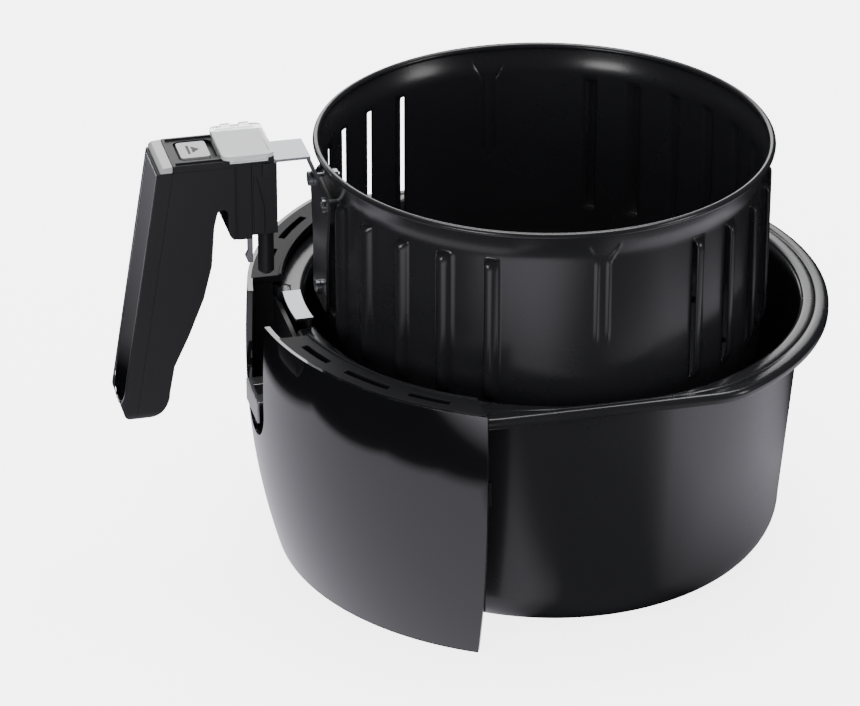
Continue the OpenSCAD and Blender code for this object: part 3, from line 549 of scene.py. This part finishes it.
@dataclass
class Pan:
    """The deep-drawn pan: floor, drafted wall with two flat sides, and turned flange."""

    m: Measures
    columns: int = 720

    def _soft_min(self, a: np.ndarray, b: np.ndarray, k: float) -> np.ndarray:
        """Smooth minimum of two lengths, with blend length k."""
        h = np.clip(0.5 + 0.5 * (b - a) / k, 0.0, 1.0)
        return b * (1 - h) + a * h - k * h * (1 - h)

    def _wall_radius(self, angle: np.ndarray, r: float, flat: float) -> np.ndarray:
        """Polar radius of a circle r pressed flat at |x| = flat."""
        cut = flat / np.maximum(np.abs(np.cos(angle)), 1e-4)
        return self._soft_min(np.full_like(angle, r), cut, 1.2 * MM)

    def _flange_radius(self, angle: np.ndarray) -> np.ndarray:
        """Polar radius of the flange's edge: an offset circle, trimmed at the sides and front."""
        m = self.m
        c, s = np.cos(angle), np.sin(angle)
        shift = m.flange_shift
        # distance from the origin to a circle of radius flange_r about (0, -shift)
        circle = -shift * s + np.sqrt(np.maximum(m.flange_r**2 - (shift * c) ** 2, 0.0))
        side = m.flange_flat / np.maximum(np.abs(c), 1e-4)
        edge = self._soft_min(circle, side, 4.0 * MM)
        front = 117.4 * MM / np.maximum(-s, 1e-4)
        x = front * c
        in_front = (s < 0) & (np.abs(x) < m.recess_w + 1.6 * MM)
        edge = np.where(in_front, np.minimum(edge, front), edge)
        tongue = (s < 0) & (x > -23.2 * MM) & (x < 14.3 * MM)
        return np.where(tongue, 111.4 * MM, edge)

    def mesh(self) -> bpy.types.Mesh:
        """Builds the outer skin, flange and inner skin as one wrapped grid."""
        m = self.m
        angle = np.linspace(0, 2 * math.pi, self.columns, endpoint=False)
        unit = np.stack([np.cos(angle), np.sin(angle)], -1)
        rows: list[np.ndarray] = []

        def ring(radius: np.ndarray, z: float) -> None:
            rows.append(np.concatenate([unit * radius[:, None], np.full((len(angle), 1), z)], -1))

        def shell(inset: float, up: bool) -> None:
            lip = PAN_LIP
            cz = m.corner
            base = float(m.pan_at(np.array(cz))) - m.corner * math.cos(m.draft)
            steps: list[tuple[float, float]] = [(r, inset) for r in np.linspace(0.0005, base, 14)]
            for t in np.linspace(-math.pi / 2, -m.draft, 14)[1:]:
                r = m.corner - inset
                steps.append((base + r * math.cos(t), cz + r * math.sin(t)))
            top = m.pan_h - lip
            for z in np.linspace(steps[-1][1], top, 24)[1:]:
                steps.append((float(m.pan_at(np.array(z))) - inset / math.cos(m.draft), float(z)))
            for r, z in steps if up else reversed(steps):
                flat = m.flat - (m.pan_h - z) * math.tan(m.draft) - inset
                # the flats fade out round the corner and across the floor
                fade = np.clip((z - 2 * MM) / m.corner, 0.0, 1.0)
                radius = self._wall_radius(angle, r, flat)
                ring(r + (radius - r) * fade if r > 0.5 * base else np.full_like(angle, r), z)

        shell(0.0, True)
        # outer skin turns out under the flange, down the lip's inside, round its edge and back
        wall = self._wall_radius(angle, m.pan_r, m.flat)
        edge = self._flange_radius(angle)
        wide = np.clip((edge - wall - 2 * MM) / (3 * MM), 0.0, 1.0)
        under = m.pan_h - m.pan_t
        ring(wall + 0.5 * MM, under - 0.1 * MM)
        ring(wall + np.minimum(1.0 * MM, 0.5 * (edge - wall)), under)
        ring(edge - m.pan_t - 1.2 * MM * wide, under)
        drop = m.flange_lip
        lip_z = m.pan_h - m.pan_t - (drop - m.pan_t) * wide
        turned_edge = ((m.pan_t, 0.0), (m.pan_t * 0.6, -0.5 * MM), (0.25 * MM, -0.35 * MM), (0.0, 0.2 * MM))
        for inset, dz in turned_edge:
            z = lip_z + dz
            rows.append(np.concatenate([unit * (edge - inset)[:, None], z[:, None]], -1))
        bend = 2.2 * MM
        for t in np.linspace(0, math.pi / 2, 7):
            r = edge - bend * (1 - math.cos(t)) * wide - 0.5 * MM * (1 - wide) * math.sin(t)
            z = m.pan_h - bend * (1 - math.sin(t)) * wide - 0.5 * MM * (1 - math.sin(t)) * (1 - wide)
            rows.append(np.concatenate([unit * r[:, None], z[:, None]], -1))
        # a shallow groove runs round the middle of the flange
        for t in (0.25, 0.36, 0.42, 0.48, 0.54, 0.62, 0.8):
            r = edge - bend - (edge - bend - wall - 1.0 * MM) * t
            groove = 0.45 * MM * math.exp(-(((t - 0.47) / 0.07) ** 2))
            z = m.pan_h - groove * wide
            rows.append(np.concatenate([unit * r[:, None], z[:, None]], -1))
        for t in np.linspace(0, math.pi / 2, 6):
            lip = PAN_LIP
            r = wall + 0.9 * MM - (lip + 0.5 * MM) * math.sin(t) * 0.95
            ring(r, m.pan_h - lip * (1 - math.cos(t)))
        shell(m.pan_t, False)
        mesh = mesh_from_grids("pan", [Grid(np.stack(rows), wrap=True)])
        outward(mesh, Vector((0, 0, m.pan_h / 2)))
        return mesh


# ---------------------------------------------------------------------------
# Front panel
# ---------------------------------------------------------------------------


@dataclass
class FrontPanel:
    """The glossy wrap-round panel with its round-bottomed notch."""

    m: Measures

    def mesh(self) -> bpy.types.Mesh:
        """Builds the outer skin as two side patches and a patch below the notch."""
        m = self.m
        shoulder = m.notch_z + m.notch_w
        low = np.linspace(0, 1, 40)
        high = np.linspace(shoulder, m.panel_top, 22)[1:]

        def at(x: np.ndarray, z: np.ndarray) -> np.ndarray:
            r = m.panel_at(z)
            return np.stack([x, -np.sqrt(np.maximum(r**2 - x**2, 0)), z], -1)

        grids = []
        for side in (-1, 1):
            z = np.concatenate([low * shoulder, high])
            r = m.panel_at(z)
            start = np.arcsin(m.notch_w / r)
            end = np.arccos(m.end_y / r)
            t = np.linspace(0, 1, 72)
            angle = start[:, None] + (end - start)[:, None] * t[None, :]
            x = side * r[:, None] * np.sin(angle)
            y = -r[:, None] * np.cos(angle)
            grids.append(Grid(np.stack([x, y, np.broadcast_to(z[:, None], x.shape)], -1)))
        bend = np.linspace(-math.pi / 2, math.pi / 2, 41)
        x = m.notch_w * np.sin(bend)
        top = shoulder - m.notch_w * np.cos(bend)
        z = low[:, None] * top[None, :]
        grids.append(Grid(at(np.broadcast_to(x[None, :], z.shape), z)))
        mesh = mesh_from_grids("front_panel", grids, 5e-6)
        outward(mesh, Vector((0, 0, m.waist)))
        return mesh


# ---------------------------------------------------------------------------
# Basket
# ---------------------------------------------------------------------------


@dataclass
class BasketShell:
    """The basket's wall with louvred slots, pressed mark, flared and rolled rim."""

    m: Measures
    pitch: float = math.radians(12.46)
    count: int = 5
    louvre: float = 3.0 * MM
    width: float = 6.0 * MM
    top_drop: float = 14.6 * MM
    length: float = 65.0 * MM

    def _angles(self) -> np.ndarray:
        """Angles of the louvres: both sides of the bracket, and all across the back."""
        k = np.arange(1, self.count + 1)
        back = math.pi / 2 + np.arange(-self.count, self.count + 1) * self.pitch
        return np.concatenate([-math.pi / 2 + k * self.pitch, -math.pi / 2 - k * self.pitch, back])

    def _mark(self, arc_x: np.ndarray, z: np.ndarray) -> np.ndarray:
        """Depth of the pressed mark at arc distance arc_x: a pair of lines that open to a Y."""
        m = self.m
        rim = m.basket_z + m.basket_h
        fork, low, high = rim - 16 * MM, rim - 51 * MM, rim - 8.5 * MM
        spread = 2.5 * MM + np.clip((z - fork) / (7.5 * MM), 0, 1) * 4.2 * MM
        line = np.exp(-(((np.abs(arc_x) - spread) / (0.7 * MM)) ** 2))
        fade = 1 / (1 + np.exp(-(z - low) / (0.8 * MM))) / (1 + np.exp((z - high) / (0.8 * MM)))
        return 0.55 * MM * line * fade

    def mesh(self) -> bpy.types.Mesh:
        """Builds the wall from corner to rolled rim, slit at every louvre."""
        m = self.m
        centres = np.sort(np.mod(self._angles(), 2 * math.pi))
        half = self.width / m.basket_r / 2
        slit = 0.35 * MM / m.basket_r
        columns: list[float] = []
        slits: list[int] = []
        plain = np.linspace(0, 2 * math.pi, 300, endpoint=False)
        taken = [(c - half - 2 * slit, c + half) for c in centres]
        marks: list[tuple[float, bool]] = [
            (a, False) for a in plain if not any(p <= a <= q for p, q in taken)
        ]
        for c in centres:
            marks.append((c - half - slit, True))
            marks += [(c - half + f * 2 * half, False) for f in (0.0, 0.12, 0.3, 0.5, 0.7, 0.88, 1.0)]
        for a in (0.0, math.pi, -math.pi):
            marks += [(a + f * MM / m.basket_r, False) for f in np.arange(-8, 8.1, 0.55)]
        marks = sorted((a % (2 * math.pi), s) for a, s in marks)
        for a, s in marks:
            if columns and a - columns[-1] < 1e-4 and not s:
                continue
            if s:
                slits.append(len(columns))
            columns.append(a)
        angle = np.array(columns)
        # profile from the floor's edge to the flare, as radius and height
        profile = [(m.basket_r - 8 * MM + 8 * MM * math.cos(t), 8 * MM + 8 * MM * math.sin(t))
                   for t in np.linspace(-math.pi / 2, 0, 9)]
        flare_z = m.basket_h - 14 * MM
        slot_top = m.basket_h - self.top_drop
        slot_low = slot_top - self.length
        heights = np.unique(np.concatenate([
            np.linspace(8 * MM, slot_low - 1 * MM, 6)[1:],
            slot_low + np.array([0, 0.4, 1, 2, 3.2, 5, 7]) * MM,
            np.linspace(slot_low + 9 * MM, slot_top - 9 * MM, 28),
            slot_top - np.array([7, 5, 3.2, 2, 1, 0.4, 0]) * MM,
        ]))
        profile += [(m.basket_r, float(z)) for z in heights]
        bead = 1.5 * MM
        for t in np.linspace(0, 1, 16)[1:]:
            profile.append((m.basket_r + m.flare * (1 - math.cos(t * math.pi / 2)),
                            flare_z + (14 * MM - bead) * t))
        radius = np.array([p[0] for p in profile])
        height = np.array([p[1] for p in profile])
        # louvre: highest at its open side, falling to nothing at the far side, rounded at both ends
        push = np.zeros((len(profile), len(angle)))
        for c in centres:
            u = (angle - (c - half)) / (2 * half)
            inside = (u >= -1e-9) & (u <= 1)
            hump = np.sin(np.clip(0.28 + 0.72 * u, 0, 1) * math.pi) ** 0.8
            shape = np.where(inside, hump, 0.0)
            foot = np.clip((height - slot_low) / (9 * MM), 0, 1)
            head = np.clip((slot_top - height) / (3.6 * MM), 0, 1)
            ends = np.sqrt(1 - (1 - head) ** 2) * np.sqrt(1 - (1 - foot) ** 2)
            push += self.louvre * ends[:, None] * shape[None, :]
        arc_x = np.angle(np.exp(1j * angle))
        arc_x = np.where(np.abs(arc_x) < math.pi / 2, arc_x, np.angle(np.exp(1j * (angle - math.pi))))
        z_world = height[:, None] + m.basket_z
        push += self._mark(arc_x[None, :] * m.basket_r, z_world)
        r = radius[:, None] + push
        points = np.stack([
            r * np.cos(angle), r * np.sin(angle) + m.basket_y, np.broadcast_to(z_world, r.shape)
        ], -1)
        keep = np.ones((len(profile) - 1, len(angle)), bool)
        open_rows = (height[:-1] > slot_low + 0.3 * MM) & (height[1:] < slot_top - 0.3 * MM)
        for s in slits:
            keep[open_rows, s] = False
        mesh = mesh_from_grids("basket_wall", [Grid(points, wrap=True, keep=keep)], 1e-7)
        outward(mesh, Vector((0, m.basket_y, m.basket_z + m.basket_h / 2)))
        return mesh

    def rim(self) -> bpy.types.Mesh:
        """Builds the rolled bead on top of the flare."""
        m = self.m
        bead = 1.5 * MM
        a = np.linspace(0, 2 * math.pi, 360, endpoint=False)
        b = np.linspace(0, 2 * math.pi, 17)
        r = m.basket_r + m.flare - bead + bead * np.cos(b)[:, None] + 0 * a
        z = m.basket_z + m.basket_h - bead + bead * np.sin(b)[:, None] + 0 * a
        points = np.stack([r * np.cos(a), r * np.sin(a) + m.basket_y, z], -1)
        mesh = mesh_from_grids("basket_rim", [Grid(points, wrap=True)], 1e-7)
        return mesh

    def floor(self, source: bpy.types.Mesh) -> bpy.types.Mesh:
        """Takes the perforated floor out of the CAD shell, inside the corner's start.

        Args:
            source: The CAD shell's mesh.

        Returns:
            The floor plate with its drain holes.
        """
        m = self.m
        mesh = source.copy()
        mesh.name = "basket_floor"
        work = bmesh.new()
        work.from_mesh(mesh)
        bmesh.ops.remove_doubles(work, verts=work.verts, dist=2e-6)
        top = m.basket_z + 1.3 * MM
        reach = m.basket_r - 7.7 * MM
        away = [f for f in work.faces
                if any(v.co.z > top or math.hypot(v.co.x, v.co.y - m.basket_y) > reach for v in f.verts)]
        bmesh.ops.delete(work, geom=away, context="FACES")
        work.to_mesh(mesh)
        work.free()
        mesh.polygons.foreach_set("use_smooth", [False] * len(mesh.polygons))
        return mesh


# ---------------------------------------------------------------------------
# Small pieces
# ---------------------------------------------------------------------------


def helix(
    name: str,
    centre: Sequence[float],
    r: float,
    wire: float,
    z0: float,
    z1: float,
    turns: int,
) -> bpy.types.Mesh:
    """Makes a compression spring: a round wire swept along a helix.

    Args:
        name: Mesh name.
        centre: X and Y of the axis.
        r: Radius of the wire's centre line.
        wire: Wire radius.
        z0: Lower end.
        z1: Upper end.
        turns: Number of turns.

    Returns:
        The mesh.
    """
    t = np.linspace(0, 1, turns * SPRING_STEPS + 1)
    a = 2 * math.pi * turns * t
    b = np.linspace(0, 2 * math.pi, SPRING_SIDES, endpoint=False)
    z = z0 + wire + (z1 - z0 - 2 * wire) * t
    out = np.stack([np.cos(a), np.sin(a), 0 * a], -1)
    up = np.array([0.0, 0.0, 1.0])
    core = np.stack([centre[0] + r * np.cos(a), centre[1] + r * np.sin(a), z], -1)
    section = np.cos(b)[None, :, None] * out[:, None, :] + np.sin(b)[None, :, None] * up
    points = core[:, None, :] + wire * section
    return mesh_from_grids(name, [Grid(points, wrap=True)], 1e-7)


def slab(name: str, outline: Sequence[tuple[float, float]], z0: float, z1: float) -> bpy.types.Mesh:
    """Makes a flat prism from an outline in X and Y.

    Args:
        name: Mesh name.
        outline: Corner points, anticlockwise.
        z0: Underside.
        z1: Top.

    Returns:
        The mesh.
    """
    n = len(outline)
    verts = [(x, y, z0) for x, y in outline] + [(x, y, z1) for x, y in outline]
    faces = [tuple(range(n - 1, -1, -1)), tuple(range(n, 2 * n))]
    faces += [(i, (i + 1) % n, n + (i + 1) % n, n + i) for i in range(n)]
    mesh = bpy.data.meshes.new(name)
    mesh.from_pydata(verts, [], faces)
    return mesh


@dataclass
class DrawerAssembly:
    """Pan, panel, collars and the latch receiver."""

    shop: Workshop
    m: Measures

    def build(self) -> None:
        """Builds every piece of the drawer body."""
        s = self.shop
        s.place("pan_look", Pan(self.m).mesh(), Body.DRAWER, Slot.COAT, ["pan"])
        panel = s.place(
            "front_panel_look", FrontPanel(self.m).mesh(), Body.DRAWER, Slot.GLOSS, ["front_panel"]
        )
        s.thicken(panel, self.m.panel_t)
        s.soften(panel, 0.5 * MM, 3, 50.0)
        for node in ("collar_left", "collar_right"):
            s.clean_copy(node, Body.DRAWER, Slot.GREY, 0.45 * MM)
        s.clean_copy("panel_frame", Body.DRAWER, Slot.GREY, 0.4 * MM, 2)
        s.clean_copy("latch_receiver", Body.DRAWER, Slot.BLACK, 0.4 * MM)
        s.clean_copy("catch_plate", Body.DRAWER, Slot.STEEL, 0.25 * MM)
        s.clean_copy("pan_bracket", Body.DRAWER, Slot.STEEL, 0.35 * MM)
        for node in ("bracket_rivets", "receiver_screws"):
            s.clean_copy(node, Body.DRAWER, Slot.STEEL, 0.2 * MM)


@dataclass
class BasketAssembly:
    """The basket with its steel bracket and screws."""

    shop: Workshop
    m: Measures

    def build(self) -> None:
        """Builds every piece of the basket below the handle."""
        s, m = self.shop, self.m
        shell = BasketShell(m)
        wall = s.place("basket_wall_look", shell.mesh(), Body.BASKET, Slot.COAT, ["basket_shell"])
        s.thicken(wall, 1.1 * MM)
        s.place("basket_rim_look", shell.rim(), Body.BASKET, Slot.COAT)
        s.place("basket_floor_look", shell.floor(s.nodes["basket_shell"].data), Body.BASKET, Slot.COAT)
        s.clean_copy("basket_bracket", Body.BASKET, Slot.STEEL, 0.3 * MM)
        s.clean_copy("bracket_spacer", Body.BASKET, Slot.BLACK, 0.5 * MM)
        s.clean_copy("bracket_backing", Body.BASKET, Slot.STEEL, 0.3 * MM)
        s.clean_copy("bracket_screws", Body.BASKET, Slot.STEEL, 0.45 * MM)
        s.clean_copy("bracket_nuts", Body.BASKET, Slot.STEEL, 0.6 * MM)


@dataclass
class HandleAssembly:
    """The pistol grip with its deck, button, guard and latch.

    Attributes:
        shop: Makes and places the pieces.
        m: Sizes read from the frame.
        lean: Slope of the grip's front face.
        shell_d: Depth of the grip's front shell.
        travel: How far the button goes down. Not used.
        grip_front: From the latch cover's front to the grip's front, at the deck.
        seam_reach: How near an edge lies to the seam to count as on it.
    """

    shop: Workshop
    m: Measures
    lean: float = math.tan(math.radians(9.3))
    shell_d: float = 6.3 * MM
    travel: float = 2.5 * MM
    grip_front: float = 50.5 * MM
    seam_reach: float = 0.25 * MM

    def _on_seam(self, a: Vector, b: Vector) -> bool:
        """Whether both ends of an edge lie on the seam between the grip's two shells."""
        front = self.m.cover_y - self.grip_front
        return all(
            abs(p.y - (front - (self.m.deck_z - p.z) * self.lean + self.shell_d)) < self.seam_reach
            for p in (a, b)
        )

    def build(self) -> None:
        """Builds every piece of the handle."""
        s, m = self.shop, self.m
        s.clean_copy("handle_body", Body.BASKET, Slot.BLACK, 1.5 * MM, 4, self._on_seam)
        s.clean_copy("handle_front", Body.BASKET, Slot.BLACK, 1.5 * MM, 4, self._on_seam)
        s.clean_copy("handle_inlay", Body.BASKET, Slot.GLOSS, 0.3 * MM)
        s.clean_copy("inlay_border", Body.BASKET, Slot.CHROME, 0.2 * MM)
        s.clean_copy("handle_screws", Body.BASKET, Slot.STEEL, 0.2 * MM)
        s.clean_copy("top_trim", Body.BASKET, Slot.SILVER, 0.5 * MM)
        s.clean_copy("deck", Body.BASKET, Slot.BLACK, 0.3 * MM)
        s.clean_copy("latch_cover", Body.BASKET, Slot.BLACK, 1.0 * MM, 4)
        s.clean_copy("guide_post", Body.BASKET, Slot.BLACK, 0.3 * MM)
        for node in ("latch_pin", "latch_spring", "strap_screws"):
            s.clean_copy(node, Body.BASKET, Slot.STEEL, 0.15 * MM)
        s.clean_copy("latch_hook", Body.HOOK, Slot.STEEL, 0.25 * MM)
        s.clean_copy("release_button", Body.BUTTON, Slot.SILVER, 0.5 * MM)
        s.clean_copy("button_guard", Body.GUARD, Slot.CLEAR, 0.35 * MM)
        self._symbol()
        self._springs()
        self._cover_lobes()

    def _cover_lobes(self) -> None:
        """Adds the raised lobe and the slanting rib on both sides of the latch cover."""
        lo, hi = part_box("latch_cover")
        top, rear = hi.z, hi.y
        lobe = [(rear - 6.4 * MM, top), (rear - 6.4 * MM, top - 5 * MM), (rear - 4.8 * MM, top - 7 * MM),
                (rear - 1.4 * MM, top - 7 * MM), (rear - 0.6 * MM, top - 5 * MM), (rear - 0.6 * MM, top)]
        rib = [(rear - 10.2 * MM, lo.z + 2 * MM), (rear - 10.2 * MM, top - 6 * MM),
               (rear - 8.9 * MM, top - 6 * MM), (rear - 5.6 * MM, top - 20 * MM),
               (rear - 5.6 * MM, lo.z + 2 * MM)]
        for side, tag in ((-1, "left"), (1, "right")):
            for name, outline in (("lobe", lobe), ("rib", rib)):
                x0, x1 = side * (hi.x - 0.5 * MM), side * (hi.x + (0.7 if name == "lobe" else 0.45) * MM)
                verts = [(x0, y, z) for y, z in outline] + [(x1, y, z) for y, z in outline]
                n = len(outline)
                faces = [tuple(range(n - 1, -1, -1)), tuple(range(n, 2 * n))]
                faces += [(i, (i + 1) % n, n + (i + 1) % n, n + i) for i in range(n)]
                mesh = bpy.data.meshes.new(f"cover_{name}_{tag}")
                mesh.from_pydata(verts, [], faces)
                work = bmesh.new()
                work.from_mesh(mesh)
                bmesh.ops.recalc_face_normals(work, faces=work.faces)
                work.to_mesh(mesh)
                work.free()
                obj = self.shop.place(f"cover_{name}_{tag}", mesh, Body.BASKET, Slot.BLACK)
                self.shop.soften(obj, 0.35 * MM)

    def _symbol(self) -> None:
        """Raises a plain bar and triangle on the button's cap."""
        lo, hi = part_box("release_button")
        y = (lo.y + hi.y) / 2
        for name, outline in (
            ("button_bar", [(-4 * MM, y - 2.6 * MM), (4 * MM, y - 2.6 * MM), (4 * MM, y - 1.5 * MM),
                            (-4 * MM, y - 1.5 * MM)]),
            ("button_arrow", [(-3 * MM, y - 0.5 * MM), (3 * MM, y - 0.5 * MM), (0.0, y + 2.6 * MM)]),
        ):
            mesh = slab(name, outline, hi.z - 0.3 * MM, hi.z + 0.12 * MM)
            self.shop.place(name, mesh, Body.BUTTON, Slot.BLACK)

    def _springs(self) -> None:
        """Winds the two return springs under the button."""
        lo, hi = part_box("button_spring")
        r = (hi.y - lo.y) / 2 - 0.35 * MM
        y = (lo.y + hi.y) / 2
        x = hi.x - r - 0.35 * MM
        for side in (-1, 1):
            mesh = helix(f"spring_{side}", (side * x, y), r, 0.35 * MM, lo.z, hi.z, 7)
            obj = self.shop.place(f"button_spring_{side}", mesh, Body.BASKET, Slot.STEEL)
            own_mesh(obj)
            if side == 1:
                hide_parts("button_spring")


# ---------------------------------------------------------------------------
# Studio
# ---------------------------------------------------------------------------


@dataclass(frozen=True)
class SoftBox:
    """One area light.

    Attributes:
        name: Light name.
        place: Position in metres.
        aim: Point it faces.
        size: Width and height.
        power: Watts.
    """

    name: str
    place: tuple[float, float, float]
    aim: tuple[float, float, float]
    size: tuple[float, float]
    power: float


@dataclass(frozen=True)
class Card:
    """One bounce card, lying level and seen only in reflections.

    Attributes:
        name: Card name.
        outline: Its corners in X and Y, in metres.
        height: Its height.
        strength: Emission.
        core: Share of the way to the rim that is fully bright.
    """

    name: str
    outline: tuple[tuple[float, float], ...]
    height: float
    strength: float
    core: float


@dataclass
class Studio:
    """Camera, pale floor, sky and soft boxes."""

    location: Vector = field(default_factory=lambda: Vector((1.6612, -0.4600, 0.9790)))
    target: Vector = field(default_factory=lambda: Vector((-0.0116, -0.0520, 0.0833)))
    lens: float = 184.3
    roll: float = math.radians(0.1)
    boxes: tuple[SoftBox, ...] = (
        SoftBox("key_top", (-0.3, 0.1, 1.7), (0, 0, 0.1), (1.3, 0.9), 26.0),
        SoftBox("left_window", (1.15, -1.25, 0.42), (0, 0, 0.05), (0.55, 0.5), 7.0),
        SoftBox("back_wall", (-1.7, 0.1, 0.8), (0, 0, 0.1), (1.3, 0.9), 12.0),
        SoftBox("right_strip", (1.2, 1.5, 0.45), (0, 0, 0.1), (0.5, 0.7), 6.0),
    )

    cards: tuple[Card, ...] = (
        Card("card_front", ((-0.19, -0.10), (-0.18, -0.235), (-0.03, -0.315), (0.136, -0.28), (0.215, -0.225),
                            (0.262, -0.16), (0.13, -0.02)), 0.0005, 0.85, 0.93),
        Card("card_side", ((0.11, 0.03), (0.34, 0.06), (0.36, 0.30), (0.10, 0.42), (-0.10, 0.32),
                           (-0.05, 0.12)), 0.0005, 1.3, 0.45),
        Card("card_near", ((0.26, -0.36), (0.5, -0.5), (0.7, -0.1), (0.5, 0.1), (0.31, -0.06)), 0.0004, 1.7,
             0.5),
        Card("card_left", ((-0.25, -0.24), (-0.65, -0.25), (-0.6, -0.75), (0.0, -0.75), (0.0, -0.42)), 0.0004,
             0.45, 0.4),
    )

    def build(self) -> None:
        """Makes the camera, world, lights and floor."""
        scene = bpy.context.scene
        cam_data = bpy.data.cameras.new("camera")
        cam_data.lens = self.lens
        cam_data.sensor_width = 36.0
        cam = bpy.data.objects.new("camera", cam_data)
        scene.collection.objects.link(cam)
        cam.location = self.location
        aim = (self.target - self.location).to_track_quat("-Z", "Y")
        cam.rotation_euler = (aim.to_matrix() @ Euler((0, 0, self.roll)).to_matrix()).to_euler()
        scene.camera = cam
        world = bpy.data.worlds.new("studio")
        world.use_nodes = True
        sky = world.node_tree.nodes["Background"]
        sky.inputs["Color"].default_value = (1.0, 1.0, 1.0, 1.0)
        sky.inputs["Strength"].default_value = SKY_STRENGTH
        world.cycles_visibility.glossy = False
        scene.world = world
        for box in self.boxes:
            self._light(box)
        self._floor()
        for card in self.cards:
            self._card(card)

    @staticmethod
    def _card(card: "Card") -> None:
        """Lays a bounce card that only mirrored rays see, fading towards its rim."""
        n = len(card.outline)
        middle = tuple(sum(p[i] for p in card.outline) / n for i in (0, 1))
        rings = np.linspace(0, 1, 9)
        outline = np.array(card.outline)
        centre = np.array(middle)
        dense = np.concatenate([
            outline[i] + (outline[(i + 1) % n] - outline[i]) * np.linspace(0, 1, 8, endpoint=False)[:, None]
            for i in range(n)
        ])
        flat = centre + (dense - centre)[None, :, :] * np.maximum(rings, 0.001)[:, None, None]
        points = np.concatenate([flat, np.full((*flat.shape[:2], 1), card.height)], -1)
        mesh = mesh_from_grids(card.name, [Grid(points, wrap=True)], 1e-7)
        glow = mesh.color_attributes.new("glow", "FLOAT_COLOR", "POINT")
        reach = [min(range(len(rings)), key=lambda k: abs(
            np.abs(flat[k] - np.array(v.co[:2])).sum(-1).min())) for v in mesh.vertices]
        level = [1.0 - max(0.0, (rings[k] - card.core) / (1.0 - card.core)) for k in reach]
        glow.data.foreach_set("color", np.array([(0.93 * v, 0.9 * v, v, 1.0) for v in level]).ravel())
        mat = bpy.data.materials.new(card.name)
        mat.use_nodes = True
        nodes, links = mat.node_tree.nodes, mat.node_tree.links
        shader = nodes["Principled BSDF"]
        shader.inputs["Base Color"].default_value = (0, 0, 0, 1)
        shader.inputs["Specular IOR Level"].default_value = 0.0
        shader.inputs["Emission Strength"].default_value = card.strength
        level_node = nodes.new("ShaderNodeAttribute")
        level_node.attribute_name = "glow"
        links.new(level_node.outputs["Color"], shader.inputs["Emission Color"])
        mesh.materials.append(mat)
        obj = bpy.data.objects.new(card.name, mesh)
        bpy.context.scene.collection.objects.link(obj)
        for ray in ("camera", "diffuse", "shadow", "transmission", "volume_scatter"):
            setattr(obj, f"visible_{ray}", False)

    @staticmethod
    def _light(box: SoftBox) -> None:
        """Hangs one soft box and turns it to its aim."""
        data = bpy.data.lights.new(box.name, "AREA")
        data.shape = "RECTANGLE"
        data.size, data.size_y = box.size
        data.energy = box.power
        lamp = bpy.data.objects.new(box.name, data)
        bpy.context.scene.collection.objects.link(lamp)
        lamp.location = box.place
        direction = Vector(box.aim) - Vector(box.place)
        lamp.rotation_euler = direction.to_track_quat("-Z", "Y").to_euler()

    @staticmethod
    def _floor() -> None:
        """Lays a pale floor that is bright to the camera and does not light the object."""
        h = FLOOR_HALF
        mesh = slab("floor", [(-h, -h), (h, -h), (h, h), (-h, h)], FLOOR_BOTTOM, FLOOR_TOP)
        floor = bpy.data.objects.new("floor", mesh)
        bpy.context.scene.collection.objects.link(floor)
        mat = bpy.data.materials.new("floor_white")
        mat.use_nodes = True
        shader = mat.node_tree.nodes["Principled BSDF"]
        shader.inputs["Base Color"].default_value = (FLOOR_SHADE, FLOOR_SHADE, FLOOR_SHADE, 1.0)
        shader.inputs["Roughness"].default_value = FLOOR_ROUGHNESS
        shader.inputs["Emission Color"].default_value = (1.0, 1.0, 1.0, 1.0)
        shader.inputs["Emission Strength"].default_value = FLOOR_GLOW
        mesh.materials.append(mat)
        floor.visible_glossy = False
        floor.visible_diffuse = False


def main() -> None:
    """Loads the CAD frame and builds the scene round it."""
    logging.basicConfig(level=logging.INFO)
    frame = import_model()
    measures = Measures.from_frame()
    shop = Workshop(FinishShop(FINISHES), frame["nodes"])
    for assembly in (DrawerAssembly, BasketAssembly, HandleAssembly):
        LOG.info("building %s", assembly.__name__)
        assembly(shop, measures).build()
    Studio().build()
    LOG.info("%d pieces", len(shop.pieces))


if __name__ == "__main__":
    main()
